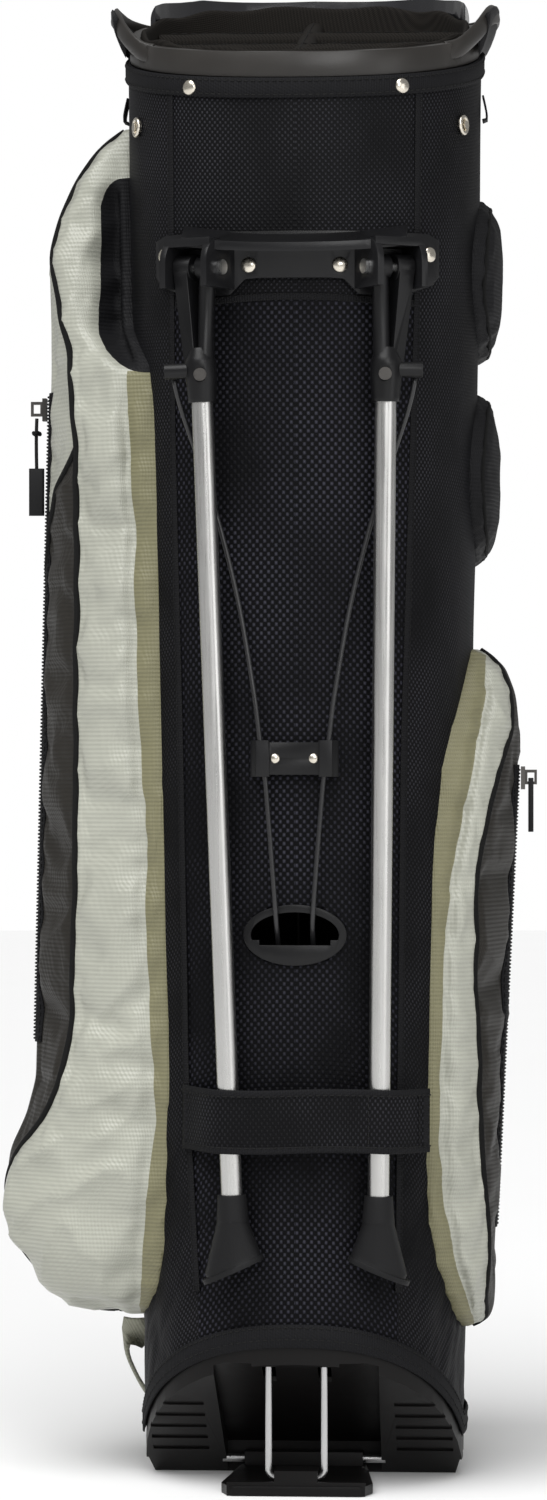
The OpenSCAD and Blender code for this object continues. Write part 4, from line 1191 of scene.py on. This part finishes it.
def laid_on(cloth, point, out, lift):
    """The point moved along out until it is lift above the cloth."""
    hit = cloth.ray_cast(point + out * 0.02, -out, 0.05)[0]
    return (hit if hit is not None else point) + out * lift


def zips(under):
    """Woven tapes with a moulded coil between them, and stitched edges, laid on the three pockets."""
    lines = [
        (zip_ends(lambda p: p.x < -0.1, 2), Vector((-1, 0, 0))),
        (zip_ends(lambda p: p.x > 0.1, 2), Vector((1, 0, 0))),
        (zip_ends(lambda p: p.y > 0.15, 0), Vector((0, 1, 0))),
    ]
    tapes, teeth, runs = [], [], []
    for i, ((a, b), out) in enumerate(lines):
        ahead = (b - a).normalized()
        side = ahead.cross(out)
        mesh = under[i].data
        cloth = BVHTree.FromPolygons([v.co for v in mesh.vertices], [p.vertices for p in mesh.polygons])
        path = resampled([a, b], 0.005)
        for s in (-1, 1):
            rows = []
            for p in path:
                top = [laid_on(cloth, p + side * s * w, out, lift) for w, lift in TAPE_SECTION]
                rows.append(top + [q - out * 0.0009 for q in reversed(top)])
            rows = rows if s > 0 else [r[::-1] for r in rows]
            tapes.append(grid(f"tape_{i}_{s}", rows, black_tape, around=True, caps=True))
            edge = [laid_on(cloth, p + side * s * 0.0078, out, 0.0013) for p in path]
            runs.append((eased(edge, 2), [out] * len(path)))
        length = (b - a).length
        for k, s in enumerate(np.arange(0.002, length - 0.002, 0.0022)):
            centre = a + ahead * float(s) + out * 0.0006 + side * (0.0007 if k % 2 else -0.0007)
            teeth.append(bead(centre, side, out, 0.0036, 0.0015, 0.0017))
    place(joined("zip_tape_pair", *tapes), "zip_tape", stands_for=("zip_tapes",))
    place(beads("zip_coils", teeth, teeth_nylon), "zip_tape")
    place(stitches("zip_stitches", runs, black_thread, 0.0048), "zip_tape")


PULL_ROUTE = [(-0.1656, 0.003, 0.6448), (-0.1659, 0.003, 0.635), (-0.1659, 0.003, 0.624),
              (-0.1657, 0.003, 0.6141)]
KNOT_AT = Vector((-0.1657, 0.003, 0.6355))
PULL_DIAMETER = 0.0022


def zip_pull():
    """The cord from the zip's bail to its moulded tab, with the knot part of the way down."""
    path = curve_through(PULL_ROUTE, 6)
    profile = round_profile(PULL_DIAMETER / 2, 10)
    braid = plain_yarn("pull_braid", (0.014, 0.013, 0.013))
    piece = sweep("zip_pull_braid", path, profile, Vector((0, 1, 0.001)), braid)
    place(piece, "cord", "zip_left_pull", ("zip_pull_cord",))
    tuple(PULL_ROUTE[0])
    float(lengths(path)[-1])
    [tuple(p) for p in path]
    knot_line = []
    for a in np.linspace(0, math.tau, 37)[:-1]:
        ring = Vector((math.sin(a) + 2 * math.sin(2 * a), math.cos(a) - 2 * math.cos(2 * a), -math.sin(3 * a)))
        knot_line.append(KNOT_AT + ring * 0.00085)
    outwards = [p - KNOT_AT for p in knot_line]
    thread = round_profile(0.00085, 8)
    knot = sweep("zip_pull_knot", knot_line, thread, outwards, piping_cord, closed=True)
    place(knot, "cord", "zip_left_pull")


# ---------------------------------------------------------------- straps, handles and loops
def leg_lock_strap():
    """The strap across both legs: net fabric with bound edges, and two columns of stitches near its loose end."""
    plan = [(-0.0665, -0.0952), (-0.060, -0.1052), (-0.0524, -0.1172), (-0.0455, -0.1246), (-0.0385, -0.1268),
            (0.005, -0.1271), (0.050, -0.1268), (0.0575, -0.1244), (0.065, -0.117), (0.073, -0.1065), (0.078, -0.1016)]
    middle, height = 0.223, 0.038
    path = drawn([(x, y, middle) for x, y in plan], 0.003, 5)
    up = Vector((0, 0, 1))
    sides = [u for _, _, u in frames(path, up)]
    outward = [s if s.y < 0.3 else -s for s in sides]
    outward = [Vector((s.x, s.y, 0)).normalized() for s in outward]
    outward = [s if s.dot(Vector((0, -1, 0))) > -0.2 else -s for s in outward]
    sag = [0.0006 * math.sin(p.x * 60) for p in path]
    line = [p + o * 0.0009 + up * s for p, o, s in zip(path, outward, sag)]
    body = sweep("strap_web", line, strap_profile(height - 0.001, 0.0014, 10), outward, net_fine)
    place(body, "webbing", "leg_lock_strap", ("leg_lock_strap",))
    bound = []
    for i, s in enumerate((-1, 1)):
        edge = [p + up * s * (height / 2 - 0.0024) for p in line]
        bound.append(sweep(f"bound_{i}", edge, strap_profile(0.0048, 0.0021, 4), outward, black_tape))
    for i, k in enumerate((1, len(line) - 2)):
        levels = np.linspace(-height / 2 + 0.003, height / 2 - 0.003, 8)
        stub = [line[k] + up * z + outward[k] * 0.0001 for z in levels]
        bound.append(sweep(f"stub_{i}", stub, strap_profile(0.0046, 0.0021, 4), outward[k], black_tape))
    place(joined("strap_binding", *bound), "webbing", "leg_lock_strap")
    runs = []
    for s in (-1, 1):
        edge = [p + up * s * (height / 2 - 0.0040) + o * 0.0011 for p, o in zip(line, outward)]
        runs.append((edge, outward))
    for back in (4, 16):
        k = len(line) - back
        column = [line[k] + up * z + outward[k] * 0.0011 for z in np.linspace(-0.014, 0.014, 8)]
        runs.append((column, [outward[k]] * 8))
    place(stitches("strap_stitches", runs, black_thread), "webbing", "leg_lock_strap")


def ribbon(name, points, width, thick, side, material):
    return sweep(name, drawn(points), strap_profile(width, thick), side, material)


def side_loops():
    """Folded tape loops near the top of both sides."""
    made = []
    z, reach = 0.834, 0.0036
    x = half(z)[0]
    for s in (-1, 1):
        path = [(s * (x + 0.0009), 0, z - 0.009), (s * (x + reach * 0.8), 0, z - 0.0095),
                (s * (x + reach), 0, z - 0.006),
                (s * (x + 0.0026), 0, z), (s * (x + 0.0012), 0, z + 0.006)]
        made.append(ribbon(f"loop_{s}", path, 0.0155, 0.0012, Vector((s, 0, 0.3)), black_tape))
    place(joined("tape_loops", *made), "webbing", stands_for=("side_loops",))


def handles():
    route = [(-0.0986, 0.042, 0.038), (-0.107, 0.046, 0.050), (-0.114, 0.048, 0.066),
             (-0.112, 0.048, 0.077), (-0.0993, 0.044, 0.080)]
    base_loop = ribbon("base_loop", route, 0.0235, 0.0022, Vector((1, 0.2, 0.6)), sage_tape)
    place(base_loop, "silver_fabric", stands_for=("base_grab_handle",))
    points = [(0, 0.1205, 0.520), (0, 0.134, 0.532), (0, 0.146, 0.552), (0, 0.149, 0.575), (0, 0.146, 0.598),
              (0, 0.134, 0.618), (0, 0.1215, 0.630)]
    path = drawn(points)
    run = lengths(path)
    sections = []
    for s in run:
        full = math.sin(math.pi * min(1, max(0, s / run[-1]))) ** 0.35 if 0 < s < run[-1] else 0.3
        sections.append(oval_profile(0.0058 * max(full, 0.3), 0.0128 * max(full, 0.75), 18, 2.6))
    grip = sweep("carry_grip", path, sections, Vector((0, 1, 0.001)), charcoal_cloth)
    place(grip, "padded_fabric", stands_for=("grab_handle",))
    edges = []
    for i, s in enumerate((-1, 1)):
        edge = [p + Vector((s * 0.0124, 0, 0)) for p in path[2:-2]]
        edges.append(sweep(f"edge_{i}", edge, round_profile(0.0012, 8), Vector((s, 0, 0.001)), piping_cord))
    place(joined("carry_grip_piping", *edges), "webbing")
    anchors = []
    for i, (z, lean) in enumerate(((0.512, -1), (0.638, 1))):
        patch = [skin(math.pi / 2, z + lean * t, 0.0012) for t in (-0.014, -0.005, 0.005, 0.014)]
        anchors.append(sweep(f"anchor_{i}", patch, strap_profile(0.034, 0.0016), Vector((0, 1, 0)), black_tape))
    place(joined("carry_grip_patches", *anchors), "webbing")


def shoulder_straps():
    """Two foam pads with piped edges and sewn channels, hung on webbing."""
    for s, name in ((-1, "left"), (1, "right")):
        x = s * 0.040
        path = drawn([(x, 0.132, 0.812), (x * 1.15, 0.148, 0.786), (x * 1.25, 0.156, 0.740),
                      (x * 1.28, 0.157, 0.680), (x * 1.25, 0.152, 0.620), (x * 1.2, 0.144, 0.580)])
        run = lengths(path)
        sections, edge_left, edge_right = [], [], []
        placed = list(frames(path, Vector((0, 1, 0))))
        for k, (point, _, v) in enumerate(placed):
            t = run[k] / run[-1]
            ends = max(0.0, 1 - ((2 * t - 1) ** 8)) ** 0.5
            width = 0.0255 * (0.30 + 0.70 * ends)
            seams = np.linspace(0.03, run[-1] - 0.03, 5)
            channel = 0.0016 * sum(bump(run[k] - c, 0.0035) for c in seams)
            section = [(max(a - math.copysign(channel, a), -0.0064) if abs(a) > 0.002 else a, b)
                       for a, b in oval_profile(0.0063 * (0.5 + 0.5 * ends), width, 22, 2.8)]
            sections.append(section)
            edge_left.append(point - v * width)
            edge_right.append(point + v * width)
        pad = sweep(f"shoulder_pad_{name}", path, sections, Vector((0, 1, 0)), charcoal_cloth)
        place(pad, "padded_fabric", stands_for=(f"strap_pad_{name}",))
        rim = edge_left + list(reversed(edge_right))
        rim = resampled(eased(rim, 2, True), 0.004, True)
        side = [Vector((0, 1, 0.01))] * len(rim)
        edge = sweep(f"shoulder_pad_piping_{name}", rim, round_profile(0.0014, 8), side, piping_cord, closed=True)
        place(edge, "webbing")
    webs = []
    for s in (-1, 1):
        top = [(s * 0.036, 0.1215, 0.842), (s * 0.037, 0.125, 0.828), (s * 0.040, 0.1315, 0.8125)]
        low = [(s * 0.048, 0.1435, 0.5795), (s * 0.046, 0.136, 0.548), (s * 0.043, 0.127, 0.500),
               (s * 0.040, 0.1165, 0.440)]
        for name, points in (("web_top", top), ("web_low", low)):
            webs.append(ribbon(f"{name}_{s}", points, 0.0238, 0.0022, Vector((0, 1, 0)), black_tape))
    place(joined("shoulder_webbing", *webs), "webbing", stands_for=("strap_webbing",))


def push_rods():
    """Thin painted rods from the yoke to the leg heads."""
    route = [(0.010, -0.097, 0.156), (0.010, -0.097, 0.200), (0.010, -0.097, 0.262), (0.0102, -0.098, 0.300),
             (0.0103, -0.1035, 0.318), (0.0104, -0.1095, 0.329), (0.0105, -0.116, 0.3345), (0.0108, -0.1205, 0.342),
             (0.012, -0.122, 0.360), (0.0145, -0.122, 0.392), (0.0173, -0.122, 0.425), (0.0203, -0.122, 0.447),
             (0.024, -0.121, 0.476), (0.033, -0.1165, 0.527), (0.045, -0.1138, 0.575), (0.058, -0.1125, 0.615),
             (0.067, -0.116, 0.642), (0.071, -0.121, 0.659)]
    for s, name in ((-1, "left"), (1, "right")):
        path = drawn([(s * x, y, z) for x, y, z in route])
        rod = sweep(f"spring_rod_{name}", path, round_profile(0.0015, 10), Vector((0, 1, 0.02)), rod_paint)
        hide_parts(f"push_rod_{name}")
        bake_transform(rod)


# ---------------------------------------------------------------- CAD pieces that stay
def dress_cad():
    finishes = {
        base_plastic: ("base_shell", "foot_plate", "actuator_yoke", "yoke_guide"),
        black_plastic: ("rod_clip", "rod_port", "leg_bracket", "leg_head_left", "leg_head_right", "strap_buckles"),
        highlight_grey_plastic: ("top_cuff", "cuff_handle_left", "cuff_handle_right"),
        gloss_plastic: ("cuff_back_plate",),
        soft_rubber: ("cuff_grip_left", "cuff_grip_right", "leg_foot_left", "leg_foot_right", "zip_pull_tab",
                      "zip_pull_right", "zip_pull_ball"),
        leg_aluminium: ("leg_tube_left", "leg_tube_right"),
        drawn_steel: ("foot_plate_pin", "lift_wire", "bracket_backing_plate", "leg_axles", "stay_rods"),
        nickel: ("clip_rivets", "bracket_rivets", "cuff_rivets", "hood_snaps"),
        dark_metal: ("leg_screw_left", "leg_screw_right", "zip_slider_left", "zip_slider_right", "zip_slider_ball"),
    }
    rounded = (base_plastic, black_plastic, highlight_grey_plastic, gloss_plastic, soft_rubber)
    for material, names in finishes.items():
        for name in names:
            mesh = nodes[name].data
            mesh.materials.clear()
            mesh.materials.append(material)
            for stored in ("custom_normal", "sharp_edge"):
                if stored in mesh.attributes:
                    mesh.attributes.remove(mesh.attributes[stored])
            mesh.shade_smooth()
            nodes[name].modifiers.new("weld", "WELD").merge_threshold = 0.00001
            if material in rounded:
                edge = nodes[name].modifiers.new("worn_edge", "BEVEL")
                edge.width = 0.0004
                edge.segments = 2
                edge.limit_method = "ANGLE"
                edge.angle_limit = math.radians(38)
            nodes[name].modifiers.new("creases", "EDGE_SPLIT").split_angle = math.radians(34)


# ---------------------------------------------------------------- the scene
make_camera()
zip_pull()
make_studio()
dress_cad()
pockets = side_pockets()
body_skin()
panel_seams()
bindings()
padded_rim()
dividers()
zips(pockets)
leg_lock_strap()
side_loops()
handles()
shoulder_straps()
push_rods()
